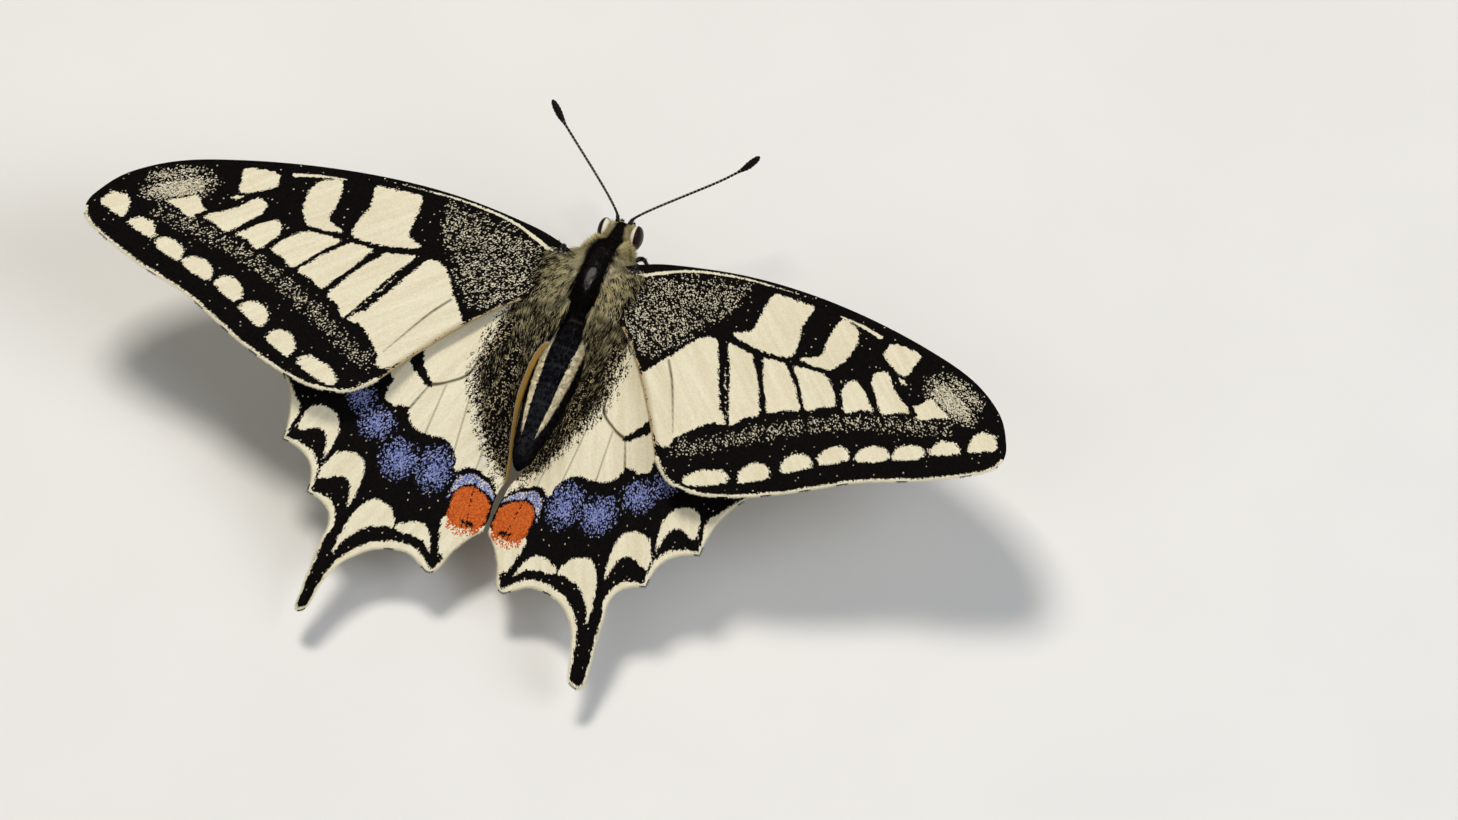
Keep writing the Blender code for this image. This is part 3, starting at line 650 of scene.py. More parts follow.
def wing_pair(name, sides, veins, pattern, place, material):
    """A right wing and its mirror image: the filled outline laid on its surface, its veins raised and its
    panels sagging, with a second sheet a membrane's thickness below it and a rim joining the two."""
    lines = [spaced(line, SHEET_STEP) for line in sides]
    outline = outline_of(lines)
    points, faces = sheet_inside(outline, SHEET_STEP)
    edge, where = line_distance(points, np.concatenate([outline, outline[:1]]))
    starts = np.cumsum([0] + [len(line) - 1 for line in lines])
    run = np.interp(where, starts, np.arange(len(sides) + 1))
    nearest = np.min([line_distance(points, spaced(smooth_line(vein, 6), 0.8))[0] for vein in veins], axis=0)
    relief = VEIN_HEIGHT * np.exp(-((nearest / VEIN_HALF_WIDTH) ** 2))
    relief -= PANEL_SAG * (1 - np.exp(-((nearest / PANEL_REACH) ** 2))) * ramp(edge, 0.0, 1.2)
    ripple = np.sin(points[:, 0] * 0.9 + 1.3 * np.sin(points[:, 1] * 0.5))
    relief += RIPPLE_HEIGHT * ripple * ramp(edge, 0, 2)
    middle = place(*points.T) + np.stack([0 * relief, 0 * relief, relief], axis=1)
    half_thickness = np.array([0, 0, MEMBRANE / 2])
    area = np.cross(points[faces[:, 1]] - points[faces[:, 0]], points[faces[:, 2]] - points[faces[:, 0]])
    faces = np.where(area[:, None] > 0, faces, faces[:, ::-1])
    edges = np.concatenate([faces[:, [0, 1]], faces[:, [1, 2]], faces[:, [2, 0]]])
    count = len(points)
    rim = edges[~np.isin(edges[:, 0] * count + edges[:, 1], edges[:, 1] * count + edges[:, 0])]
    start, end = rim.T
    walls = np.stack([end, start, start + count, end, start + count, end + count], axis=1).reshape(-1, 3)
    triangles = np.concatenate([faces, faces[:, ::-1] + count, walls])
    above = pattern(points, edge, run)
    above["dust"] = above["dust"] * (0.35 + 0.65 * ramp(nearest, 0.06, 0.24))
    below = underside(above)
    values = {key: np.concatenate([above[key], below[key]]) for key in above}
    values["place"] = np.pad(np.concatenate([points, points + LOWER_FACE_SHIFT]), ((0, 0), (0, 1)))
    flat = (points - points.min(0)) / np.ptp(points, axis=0).max() * 0.48 + 0.01
    bake_places = np.concatenate([flat, flat * np.array([1, -1]) + np.array([0.5, 0.98])])
    for letter, side in SIDES.items():
        places = np.concatenate([middle + half_thickness, middle - half_thickness]) * (side, 1, 1)
        piece = new_piece(name + letter, places, triangles[:, ::side], material, values)
        set_bake_map(piece, bake_places)
        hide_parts(name + letter)


notches = [notch(*ends) for ends in zip(HIND_VEIN_ENDS, HIND_VEIN_ENDS[1:], HIND_NOTCHES)]
FORE_SIDES = [smooth_line(line) for line in (FORE_COSTA, FORE_OUTER, FORE_INNER)]
HIND_SIDES = [smooth_line(HIND_COSTA), *notches,
              *(smooth_line(line) for line in (HIND_TAIL, HIND_LOBE, HIND_FLAP))]
SIDES = {"R": 1, "L": -1}
fore_scales = wing_scales("fore_wing_scales", math.radians(50.0))
hind_scales = wing_scales("hind_wing_scales", math.radians(70.0))
wing_pair("forewing_", FORE_SIDES, FORE_VEINS, fore_pattern, fore_place, fore_scales)
wing_pair("hindwing_", HIND_SIDES, HIND_VEINS, hind_pattern, hind_place, hind_scales)


# Trunk. Head, thorax and abdomen are one soft skin over a horny case: black cuticle, bare and glossy only on
# the middle of the back, with rings on the abdomen. Each section gives y, its middle's height, half its width
# and half its height; the sizes are those of the solids less the coat.
TRUNK = [(5.5, -2.2, 0.02, 0.02), (5.42, -2.2, 0.5, 0.48), (5.1, -2.15, 0.9, 0.88), (4.6, -2.1, 1.12, 1.14),
         (3.9, -2.1, 1.1, 1.18), (3.3, -2.08, 1.06, 1.12), (2.85, -2.0, 1.2, 1.25), (2.3, -1.93, 1.55, 1.6),
         (1.2, -1.75, 2.05, 2.1), (0.0, -1.6, 2.45, 2.45), (-1.6, -1.7, 2.65, 2.5), (-3.2, -1.9, 2.6, 2.35),
         (-4.6, -2.3, 2.2, 1.95), (-5.4, -2.6, 1.6, 1.5), (-5.9, -2.8, 1.45, 1.4), (-6.6, -3.05, 1.8, 1.75),
         (-8.2, -3.7, 2.1, 1.95), (-10.4, -4.2, 2.08, 1.9), (-12.6, -4.6, 1.88, 1.8),
         (-14.8, -4.95, 1.58, 1.6), (-16.8, -5.2, 1.22, 1.25), (-18.4, -5.35, 0.8, 0.82),
         (-19.2, -5.43, 0.4, 0.42), (-19.45, -5.45, 0.02, 0.02)]
TRUNK_LINE = smooth_line(TRUNK, 12)
TRUNK_ROWS = 300
TRUNK_SIDES = 72
WAIST = -5.8
RING_LENGTH = 1.75
RING_DEPTH = 0.015
LAST_RING = -18.5
LEAN = 0.28

# Half the width of the dark stripe down the back, and how olive its pale sides are, each by y.
STRIPE = [(-19, 0.3), (-17, 0.55), (-14, 0.84), (-10, 1.05), (-7.5, 1.15), (-6, 1.25), (-3, 1.05), (0, 1.0),
          (2.5, 0.8), (4, 0.5), (5.4, 0.34)]
THORAX_OLIVE = [(-4, 0.65), (-1, 0.75), (2.5, 0.95), (4.0, 0.75)]
ABDOMEN_OLIVE = 0.12
SKIN_SHADE = 0.35

# The bare spot on the back: the y of its middle, half its width and half its length, and how rough it is.
BARE_SPOT = (-2.5, 0.5, 1.5)
BARE_ROUGHNESS = 0.07


def along_body(y, table):
    """The value at each y, read off a table of pairs of y and value."""
    return np.interp(y, *np.transpose(table))


def lean(y):
    """How far the abdomen's middle lies to the side: it bends a little to the left of the thorax."""
    return -LEAN * ramp(y, -6.0, -10.0)


def trunk_at(along, angle):
    """The skin at a share along the trunk, front to back, and an angle round it from the right: an oval about
    the section's middle, drawn in a little where one abdomen ring slides into the next."""
    rows = along * (len(TRUNK_LINE) - 1)
    numbers = np.arange(len(TRUNK_LINE))
    y, middle, half_width, half_height = (np.interp(rows, numbers, column) for column in TRUNK_LINE.T)
    phase = np.clip(WAIST - y, 0, None) / RING_LENGTH % 1.0
    drawn_in = 1 - RING_DEPTH * np.exp(-(((phase - 0.5) / 0.12) ** 2)) * (y < WAIST) * (y > LAST_RING)
    return np.stack([lean(y) + half_width * drawn_in * np.cos(angle), y + 0 * angle,
                     middle + half_height * drawn_in * np.sin(angle)], axis=-1)


def trunk_frame(along, angle):
    """The skin's place, its outward normal and the area that a small step each way covers."""
    step = 1e-3
    place = trunk_at(along, angle)
    behind, ahead = np.minimum(along + step, 1), np.maximum(along - step, 0)
    down = (trunk_at(behind, angle) - trunk_at(ahead, angle)) / (2 * step)
    across = (trunk_at(along, angle + step) - trunk_at(along, angle - step)) / (2 * step)
    normal = np.cross(across, down)
    area = np.linalg.norm(normal, axis=-1)
    return place, normal / np.maximum(area, 1e-9)[..., None], area


def trunk_marks(place):
    """The markings, for skin and coat alike: how pale the place is, how olive, how much painted blue sheen
    its dark scales take, and how bare. The pale sides of the abdomen have a dark band along the middle of
    each flank and two dark lines along the belly."""
    x, y, z = place.T
    away = np.abs(x - lean(y))
    stripe = along_body(y, STRIPE)
    soft = np.where(y > WAIST, 0.6, 0.1)
    pale = ramp(away, stripe - soft / 2, stripe + soft / 2)
    middle = np.interp(y, TRUNK_LINE[::-1, 0], TRUNK_LINE[::-1, 1])
    below = middle - z
    flank_band = ramp(below, -1.25, -1.0) * ramp(below, 0.35, 0.1)
    belly_line = np.exp(-(((away - 0.55) / 0.16) ** 2)) * (below > 0.5)
    pale = np.where(y < WAIST, pale * (1 - 0.9 * np.clip(flank_band + belly_line, 0, 1)), pale)
    pale = np.where((y > WAIST) & (below > 0.3), 0.75, pale)
    olive = np.where(y > WAIST, along_body(y, THORAX_OLIVE), ABDOMEN_OLIVE)
    spot_y, spot_half_width, spot_half_length = BARE_SPOT
    bare = ramp(np.hypot(x / spot_half_width, (y - spot_y) / spot_half_length), 1.0, 0.6) * (z > middle)
    # Painted sheen: behind the waist the dark stripe takes a faint blue.
    return {"pale": pale, "olive": olive, "blue": ramp(y, -5.0, -9.0) * (1 - pale), "bare": bare}


def markings(count, pale=0.0, olive=0.0, blue=0.0, bare=0.0, shade=0.0):
    """The markings of count points or hairs, each given as one number for all of them or as an array."""
    given = {"pale": pale, "olive": olive, "blue": blue, "bare": bare, "shade": shade}
    return {key: np.broadcast_to(np.asarray(value, float), count) for key, value in given.items()}


def cuticle_and_down(name, roughness, gloss, wrinkle):
    """Insect cuticle and the down on it: brown-black under olive, straw or cream hairs, with a faint painted
    blue sheen on the abdomen's dark scales, and each hair its own shade. The bare cuticle is glossy and
    wrinkled to the given depth in metres."""
    material, tree, shader = new_material(name, roughness=roughness, specular_ior_level=gloss)
    value = {key: add_node(tree, "Attribute", attribute_name=key).outputs["Fac"]
             for key in ("pale", "olive", "blue", "bare", "shade")}
    where = add_node(tree, "TexCoord").outputs["Object"]
    mottle = add_node(tree, "TexNoise",
                      {"Vector": where, "Scale": 1 / (0.5 * MM), "Detail": 4.0}).outputs["Fac"]
    dark = mixed(tree, value["shade"], srgb("#080706"), srgb("#1b1612"))
    # A faint blue painted into the abdomen's black, standing in for the sheen of its scales.
    painted_blue_sheen = mixed(tree, value["shade"], srgb("#060608"), srgb("#141a2a"))
    dark = mixed(tree, value["blue"], dark, painted_blue_sheen)
    cream = mixed(tree, value["shade"], srgb("#f1e5bb"), srgb("#fffae4"))
    olive = mixed(tree, value["shade"], srgb("#362f18"), srgb("#ead78e"))
    light = mixed(tree, value["olive"], cream, olive)
    jogged = add_node(tree, "Math", {0: mottle, 1: 0.5, 2: value["pale"]},
                      operation="MULTIPLY_ADD").outputs[0]
    share = add_node(tree, "MapRange", {"Value": jogged, "From Min": 0.55, "From Max": 0.95}).outputs[0]
    tree.links.new(mixed(tree, share, dark, light), shader.inputs["Base Color"])
    rough = add_node(tree, "MapRange",
                     {"Value": value["bare"], "To Min": roughness, "To Max": BARE_ROUGHNESS})
    tree.links.new(rough.outputs[0], shader.inputs["Roughness"])
    bump = add_node(tree, "Bump", {"Height": mottle, "Strength": 0.6, "Distance": wrinkle})
    tree.links.new(bump.outputs[0], shader.inputs["Normal"])
    return material


def grid_faces(rows, columns):
    """Triangles over a grid of points, rows by columns, whose last column joins its first."""
    row, column = np.meshgrid(np.arange(rows - 1), np.arange(columns), indexing="ij")
    here = (row * columns + column).ravel()
    beside = (row * columns + (column + 1) % columns).ravel()
    return np.concatenate([np.stack([here, here + columns, beside], 1),
                           np.stack([beside, here + columns, beside + columns], 1)])


def unrolled(angle, along):
    """The place on the export's map of a place on the trunk, whose skin is unrolled flat."""
    return np.stack([angle / (2 * math.pi), along], axis=1) * 0.96 + 0.02


skin_material = cuticle_and_down("black_cuticle", 0.8, 0.3, 0.36 * MM)
along, angle = np.meshgrid(np.linspace(0, 1, TRUNK_ROWS), np.arange(TRUNK_SIDES) / TRUNK_SIDES * 2 * math.pi,
                           indexing="ij")
skin_places, _, _ = trunk_frame(along.ravel(), angle.ravel())
skin_values = trunk_marks(skin_places)
skin_values["shade"] = np.full(len(skin_places), SKIN_SHADE)
skin_faces = grid_faces(TRUNK_ROWS, TRUNK_SIDES)[:, ::-1]
skin = new_piece("trunk_skin", skin_places, skin_faces, skin_material, skin_values)
set_bake_map(skin, unrolled(angle.ravel(), along.ravel()))
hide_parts("head", "thorax", "abdomen")


# Coat. Hair-like scales: short and flat on the abdomen, upright on the head and collar, long and soft on the
# sides of the thorax, where they flow out and back over the wing roots. Each tuft is a thin three-sided
# spike.
SPIKE_RINGS = 2
SPIKE_FLATNESS = 0.5
MAP_PATCH = 0.0015
ROOT_DEPTH = 0.05

# How far the coat turns away from the middle line, and how olive its palest locks stay, each by y.
OUTWARD = [(-20, 0), (-7, 0.05), (-5, 0.4), (0, 0.5), (2, 0.3), (3.2, 0.25), (4, 0.1), (5, 0)]
WHITISH = [(-1, 0.45), (2, 0.95)]


def unit(vectors):
    """The vectors, each made one long."""
    return vectors / np.maximum(np.linalg.norm(vectors, axis=-1, keepdims=True), 1e-9)


def spikes(root, normal, flow, length, width, lift, droop):
    """Tapered three-sided spikes, with a ring of points at the root and halfway and one point at the tip. A
    spike's middle starts at its root, leaves along its flow raised towards the normal by lift, and falls back
    towards the skin by droop times the square of the way along. Returns places, triangles, each point's share
    of the way along, and small offsets that spread a spike on a map."""
    count = len(root)
    t = np.linspace(0, 1, SPIKE_RINGS + 1)[None, :, None]
    lift, droop, length = (measure[:, None, None] for measure in (lift, droop, length))
    spine = root[:, None] + length * (t * (flow[:, None] * (1 - lift) + normal[:, None] * lift)
                                      - t**2 * droop * normal[:, None])
    ahead = unit(np.gradient(spine, axis=1))
    across = unit(np.cross(ahead, normal[:, None] + 1e-4))
    above = np.cross(across, ahead)
    turns = np.arange(3) * 2 * math.pi / 3 + math.pi / 6
    thick = width[:, None, None, None] * (1 - t[:, :-1, :, None] ** 1.5 * 0.75)
    ring = spine[:, :-1, None] + thick * (across[:, :-1, None] * np.cos(turns)[:, None]
                                          + SPIKE_FLATNESS * above[:, :-1, None] * np.sin(turns)[:, None])
    places = np.concatenate([ring.reshape(count, -1, 3), spine[:, -1:]], axis=1)
    faces = [(0, 2, 1)]
    for row in range(SPIKE_RINGS - 1):
        for side in range(3):
            here, beside = row * 3 + side, row * 3 + (side + 1) % 3
            faces += [(here, beside, here + 3), (beside, beside + 3, here + 3)]
    last = (SPIKE_RINGS - 1) * 3
    faces += [(last + side, last + (side + 1) % 3, last + 3) for side in range(3)]
    along = np.append(np.repeat(t[0, :-1, 0], 3), 1.0)
    faces = (np.array(faces)[None] + np.arange(count)[:, None, None] * places.shape[1]).reshape(-1, 3)
    shrink = MAP_PATCH * (1 - 0.3 * np.arange(SPIKE_RINGS))[:, None, None] * np.ones((SPIKE_RINGS, 3, 1))
    offsets = (shrink * np.stack([np.cos(turns), np.sin(turns)], 1)).reshape(-1, 2)
    return places.reshape(-1, 3), faces, along, np.concatenate([offsets, [[0.0, 0.0]]])


def spread(marks, along):
    """Each hair's markings at all its points, with painted light: the shade is darker at the root and lighter
    towards the tip, where the light reaches it.
    """
    shared = {key: np.repeat(value, len(along)) for key, value in marks.items()}
    shared["shade"] = np.clip(shared["shade"] * (0.45 + 0.75 * np.tile(along, len(marks["shade"]))), 0, 1)
    return shared


def locks(place, size, rng):
    """Four random numbers for each root, alike for all roots in one lock: the coat parts into locks about
    size wide, one for each cell of a grid whose lines are shaken by a fifth of a cell."""
    shaken = place + rng.normal(0, 0.22 * size, place.shape)
    cell = np.floor(shaken / size).astype(int) @ np.array([1, 137, 5881])
    return rng.random((9973, 4))[cell % 9973]


def hair_piece(name, hair, marks, root_uv, side=1):
    """Spikes joined as one object, mirrored where side is -1, each with its root's markings, its own shade
    and its own patch of the map."""
    places, faces, along, offsets = hair
    piece = new_piece(name, places * (side, 1, 1), faces[:, ::side], down, spread(marks, along))
    set_bake_map(piece, (root_uv[:, None] + offsets[None]).reshape(-1, 2))


def trunk_coat(name, front, back, count, seed, length_of, lift_of, width):
    """Coat on the trunk between two y places. Roots are spread evenly over the skin, thinned where it is
    bare; the coat lies backwards, and out from the middle line on the thorax."""
    rng = np.random.default_rng(seed)
    ends = np.interp([-front, -back], -TRUNK_LINE[:, 0], np.linspace(0, 1, len(TRUNK_LINE)))
    along, angle = rng.uniform(*ends, count * 6), rng.random(count * 6) * 2 * math.pi
    place, normal, area = trunk_frame(along, angle)
    marks = trunk_marks(place)
    wanted = area * (1 - marks["bare"])
    chosen = rng.choice(len(along), count, replace=False, p=wanted / wanted.sum())
    place, normal = place[chosen], normal[chosen]
    marks = {key: value[chosen] for key, value in marks.items()}
    x, y, _ = place.T
    on_thorax = y > WAIST
    lock = locks(place, 0.4 if back > WAIST - 1 else 0.2, rng)
    outward = np.clip(x, -1.5, 1.5) * along_body(y, OUTWARD)
    heading = np.stack([outward, -np.ones(count), 0 * x], axis=1) + rng.normal(0, 0.12, (count, 3))
    heading += 0.28 * (lock[:, 1:] - 0.5)
    flow = unit(heading - normal * (heading * normal).sum(1, keepdims=True))
    length = length_of(place) * rng.uniform(0.7, 1.2, count) * (0.75 + 0.5 * lock[:, 2])
    lift = np.clip(lift_of(place) * rng.uniform(0.6, 1.4, count), 0.03, 0.9)
    marks["shade"] = np.clip(0.05 + 0.5 * rng.random(count) + 0.45 * lock[:, 0], 0, 1)
    marks["olive"] = marks["olive"] * np.where(lock[:, 3] > 0.72, along_body(y, WHITISH), 1.0)
    marks["pale"] = marks["pale"] * np.where((lock[:, 1] < 0.16) & on_thorax, 0.5, 1.0)
    # The painted blue sheen comes in patches, one lock at a time.
    marks["blue"] = marks["blue"] * ramp(lock[:, 2], 0.45, 1.0)
    marks["bare"] = np.zeros(count)
    hair = spikes(place - ROOT_DEPTH * normal, normal, flow, length, width * rng.uniform(0.7, 1.3, count),
                  lift, 0.35 * lift)
    hair_piece(name, hair, marks, unrolled(angle[chosen], along[chosen]))


def by_side(distances, measures):
    """A coat measure read off by the distance from the middle line."""
    return lambda place: np.interp(np.abs(place[:, 0]), distances, measures)


def scutellum_length(place):
    """The hairs at the thorax's end shorten towards the waist, where the abdomen's bands start."""
    full = by_side([0.5, 1.9], [0.6, 2.4])(place)
    return np.maximum(0.6, full * np.interp(place[:, 1], [-5.9, -4.0], [0.4, 1.0]))


down = cuticle_and_down("hair_scales", 0.7, 0.05, 0.02 * MM)
trunk_coat("head_coat", 5.6, 3.3, 9500, 1, by_side([0.35, 0.85], [0.4, 1.0]),
           by_side([0.35, 0.85], [0.45, 0.65]), 0.038)
trunk_coat("collar_coat", 3.3, 0.6, 19500, 2, by_side([0.6, 1.0, 1.35, 1.8], [0.4, 1.3, 1.3, 0.75]),
           by_side([0.6, 1.0, 1.7], [0.35, 0.75, 0.35]), 0.037)
trunk_coat("thorax_coat", 0.6, -2.6, 19500, 3, by_side([0.5, 1.9], [0.45, 2.4]),
           by_side([0.5, 1.9], [0.25, 0.45]), 0.036)
trunk_coat("scutellum_coat", -2.6, WAIST - 0.1, 19500, 4, scutellum_length, by_side([0.5, 1.9], [0.25, 0.4]),
           0.036)
trunk_coat("abdomen_front_coat", WAIST + 0.1, -12.0, 15000, 5, by_side([0.5, 1.9], [0.55, 0.6]),
           by_side([0], [0.2]), 0.05)
trunk_coat("abdomen_rear_coat", -12.0, -19.5, 12000, 6, by_side([0.5, 1.9], [0.45, 0.55]),
           by_side([0], [0.2]), 0.045)


# Hair on the wing roots. Long soft hairs lie over the fore wing's root and the hind wing's folded inner part.
def wing_coat(name, count, seed, corners, shape, place, density, length_of, direction, pale_share, width,
              darkest, rise):
    """Hairs on the upper face of a wing, right and left: roots drawn at random by a density over a patch
    between two corners, each hair lying along the surface in its direction, in degrees from straight
    outwards."""
    rng = np.random.default_rng(seed)
    low, high = np.array(corners)
    tries = rng.uniform(low, high, (count * 12, 2))
    wanted = np.clip(density(tries), 0, None) * inside(tries, shape)
    points = tries[rng.choice(len(tries), count, replace=False, p=wanted / wanted.sum())]
    root = place(*points.T)
    lock = locks(root, 0.25, rng)
    turned = np.radians(direction(points) + rng.normal(0, 5, count) + 20 * (lock[:, 2] - 0.5))
    ahead = points + 0.05 * np.stack([np.cos(turned), np.sin(turned)], axis=1)
    beside = points + 0.05 * np.stack([-np.sin(turned), np.cos(turned)], axis=1)
    flow = unit(place(*ahead.T) - root)
    normal = unit(np.cross(flow, place(*beside.T) - root))
    length = length_of(points) * rng.uniform(0.6, 1.25, count)
    lift = rise * rng.uniform(0.5, 1.5, count)
    pale = 0.75 * (0.5 * rng.random(count) + 0.5 * lock[:, 1] < pale_share(points))
    marks = markings(count, pale, olive=rng.uniform(0.55, 1.0, count),
                     shade=np.clip(darkest + 0.5 * rng.random(count) + 0.5 * lock[:, 0], 0, 1))
    hair = spikes(root + 0.04 * normal, normal, flow, length, width * rng.uniform(0.7, 1.3, count), lift,
                  lift)
    root_uv = (points - low) / (high - low).max() * 0.9 + 0.04
    for letter, side in SIDES.items():
        hair_piece(name + letter, hair, marks, root_uv, side)


wing_coat("fore_root_hair_", 6000, 7, ((-2.2, -8.5), (3.4, -0.6)), outline_of(FORE_SIDES), fore_place,
          density=lambda p: ramp(p[:, 0], 2.0, -1.4) ** 2 * ramp(p[:, 0] - 0.3 * p[:, 1], 4.2, 1.6),
          length_of=lambda p: np.interp(p[:, 0], [-1, 2], [1.5, 0.9]),
          direction=lambda p: -40 + 7 * p[:, 1],
          pale_share=lambda p: np.interp(p[:, 0], [-1.2, 0.3, 1.6], [0.58, 0.42, 0.2]),
          width=0.021, darkest=0.0, rise=0.18)
wing_coat("hind_inner_hair_", 9000, 8, ((-2.6, -18.6), (3.6, 1.0)), outline_of(HIND_SIDES), hind_place,
          density=lambda p: (ramp(patch_depth(p, np.array(HIND_HAIRY)), -0.1, 1.6) * (past_fold(*p.T) < 0)
                             * np.interp(p[:, 1], [-16, -8, -3, 0], [0.5, 0.8, 1.3, 1.3])),
          length_of=lambda p: (np.interp(p[:, 1], [-18, -12, -5, 0], [0.4, 0.6, 1.1, 2.2])
                               * np.interp(p[:, 0], [-0.6, 1.0], [0.6, 1])),
          direction=lambda p: -92 - 4 * p[:, 0],
          pale_share=lambda p: np.interp(p[:, 1], [-12, -5, -2, 0], [0.2, 0.3, 0.4, 0.6]),
          width=0.02, darkest=0.1, rise=0.12)


# Fringe. A row of narrow scales stands along each wing's outer margin, cream, with dark ones where a vein
# ends.
FRINGE_STEP = 0.085
FRINGE_LENGTH = 0.28
FRINGE_WIDTH = 0.05
DARK_REACH = 0.5


def fringe(name, margin, place, vein_ends, seed):
    """Flat spikes rooted a step apart along a margin, pointing out square to it, on both sides of the
    body."""
    rng = np.random.default_rng(seed)
    line = spaced(margin, FRINGE_STEP)[1:-1]
    count = len(line)
    run = unit(np.gradient(line, axis=0))
    out = unit(np.stack([-run[:, 1], run[:, 0]], axis=1) + rng.normal(0, 0.16, (count, 2)))
    root = place(*(line - 0.06 * out).T)
    flow = unit(place(*(line + 0.05 * out).T) - place(*line.T))
    near = np.linalg.norm(line[:, None] - np.array(vein_ends)[None], axis=2).min(1)
    marks = markings(count, pale=near >= DARK_REACH, olive=0.2, shade=rng.uniform(0.5, 1, count))
    up = np.tile([0.0, 0.0, 1.0], (count, 1))
    length = FRINGE_LENGTH * rng.uniform(0.7, 1.15, count)
    hair = spikes(root, up, flow, length,
                  *(np.full(count, measure) for measure in (FRINGE_WIDTH, 0.02, 0.05)))
    root_uv = (line - line.min(0)) / np.ptp(line, axis=0).max() * 0.9 + 0.05
    for letter, side in SIDES.items():
        hair_piece(name + letter, hair, marks, root_uv, side)


HIND_MARGIN = np.concatenate([*notches, *HIND_SIDES[4:6]])
fringe("fore_fringe_", FORE_SIDES[1][4:], fore_place, [vein[-1] for vein in FORE_VEINS], 10)
fringe("hind_fringe_", HIND_MARGIN, hind_place, [vein[-1] for vein in HIND_VEINS], 11)


# Shoulder scales. A small horny dome covers each fore wing's hinge, black and shiny, a little paler at its
# back.
DOME_CENTRE = np.array([3.25, -0.75, 0.62])
DOME_HALF = np.array([0.36, 0.7, 0.2])


def ball(rows, columns):
    """Points on a ball one in radius: rows of them from pole to pole along x, and so many round it in
    each."""
    polar, around = np.meshgrid(np.linspace(0.001, math.pi - 0.001, rows),
                                np.arange(columns) / columns * 2 * math.pi, indexing="ij")
    return np.stack([np.cos(polar), np.sin(polar) * np.cos(around), np.sin(polar) * np.sin(around)],
                    axis=-1).reshape(-1, 3)


dome = ball(20, 28)[:, [1, 0, 2]]
dome_values = markings(len(dome), pale=0.3 * (dome[:, 1] < -0.5), olive=0.6, bare=1.0, shade=0.4)
for letter, side in SIDES.items():
    shoulder = new_piece("shoulder_scale_" + letter, (DOME_CENTRE + dome * DOME_HALF) * (side, 1, 1),
                         grid_faces(20, 28)[:, ::-side], skin_material, dome_values)


# Eyes. Smooth dark brown globes of thousands of tiny lenses, each with a pale cream crescent on its upper
# face beside the head.
EYE_CENTRE = np.array([1.42, 4.4, -1.85])
EYE_HALF = np.array([0.55, 0.98, 1.12])
LENS = 0.05


def eye_lens(name):
    """The eye's clear horny lenses over brown pigment: a soft gloss, broken by the lenses' own tiny domes,
    which are drawn at twice their real 0.025 mm. Where the rim value is set, the colour is a pale cream
    instead."""
    material, tree, shader = new_material(name, roughness=0.3, specular_ior_level=0.1)
    where = add_node(tree, "TexCoord").outputs["Object"]
    lenses = add_node(tree, "TexVoronoi", {"Vector": where, "Scale": 1 / (LENS * MM)}, feature="SMOOTH_F1")
    rim = add_node(tree, "Attribute", attribute_name="rim").outputs["Fac"]
    mottle = add_node(tree, "TexNoise", {"Vector": where, "Scale": 1 / (0.4 * MM)}).outputs["Fac"]
    brown = mixed(tree, mottle, srgb("#150a08"), srgb("#2c140d"))
    tree.links.new(mixed(tree, rim, brown, srgb("#e6e0cb")), shader.inputs["Base Color"])
    bump = add_node(tree, "Bump",
                    {"Height": lenses.outputs["Distance"], "Strength": 0.15, "Distance": 0.006 * MM})
    tree.links.new(bump.outputs[0], shader.inputs["Normal"])
    return material


lens = eye_lens("eye_lens")
globe = ball(40, 56)
inward, forward, upward = globe.T
crescent = ramp(inward, 0.0, -0.08) * ramp(forward, 0.6, 0.4) * ramp(upward - 0.5 * forward, 0.3, 0.5)
for letter, side in SIDES.items():
    places = (EYE_CENTRE + globe * EYE_HALF) * (side, 1, 1)
    eye = new_piece("eye_piece_" + letter, places, grid_faces(40, 56)[:, ::side], lens, {"rim": crescent})
    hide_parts("eye_" + letter)


# Feelers. Many short horny joints, each with a pale foot, ending in a black club that turns up.
def tube(route, radii, sides=12):
    """A closed tube: rings of points round each place of a nearly flat route, square to it, and a point at
    each end."""
    ahead = unit(np.gradient(route, axis=0))
    flat = np.linalg.svd(route - route.mean(0))[2][2]
    across = unit(np.cross(ahead, flat))
    above = np.cross(across, ahead)
    turns = np.arange(sides) / sides * 2 * math.pi
    ring = route[:, None] + np.asarray(radii)[:, None, None] * (
        across[:, None] * np.cos(turns)[:, None] + above[:, None] * np.sin(turns)[:, None])
    places = np.concatenate([ring.reshape(-1, 3), route[:1], route[-1:]])
    turn = np.arange(sides)
    beside = (turn + 1) % sides
    last = (len(route) - 1) * sides
    start = np.stack([turn, beside, np.full(sides, len(places) - 2)], axis=1)
    end = np.stack([last + beside, last + turn, np.full(sides, len(places) - 1)], axis=1)
    faces = np.concatenate([grid_faces(len(route), sides), start, end])
    first, second, third = (places[faces[:, corner]] for corner in range(3))
    volume = np.einsum("ij,ij->i", first, np.cross(second, third)).sum()
    return places, faces if volume > 0 else faces[:, ::-1]


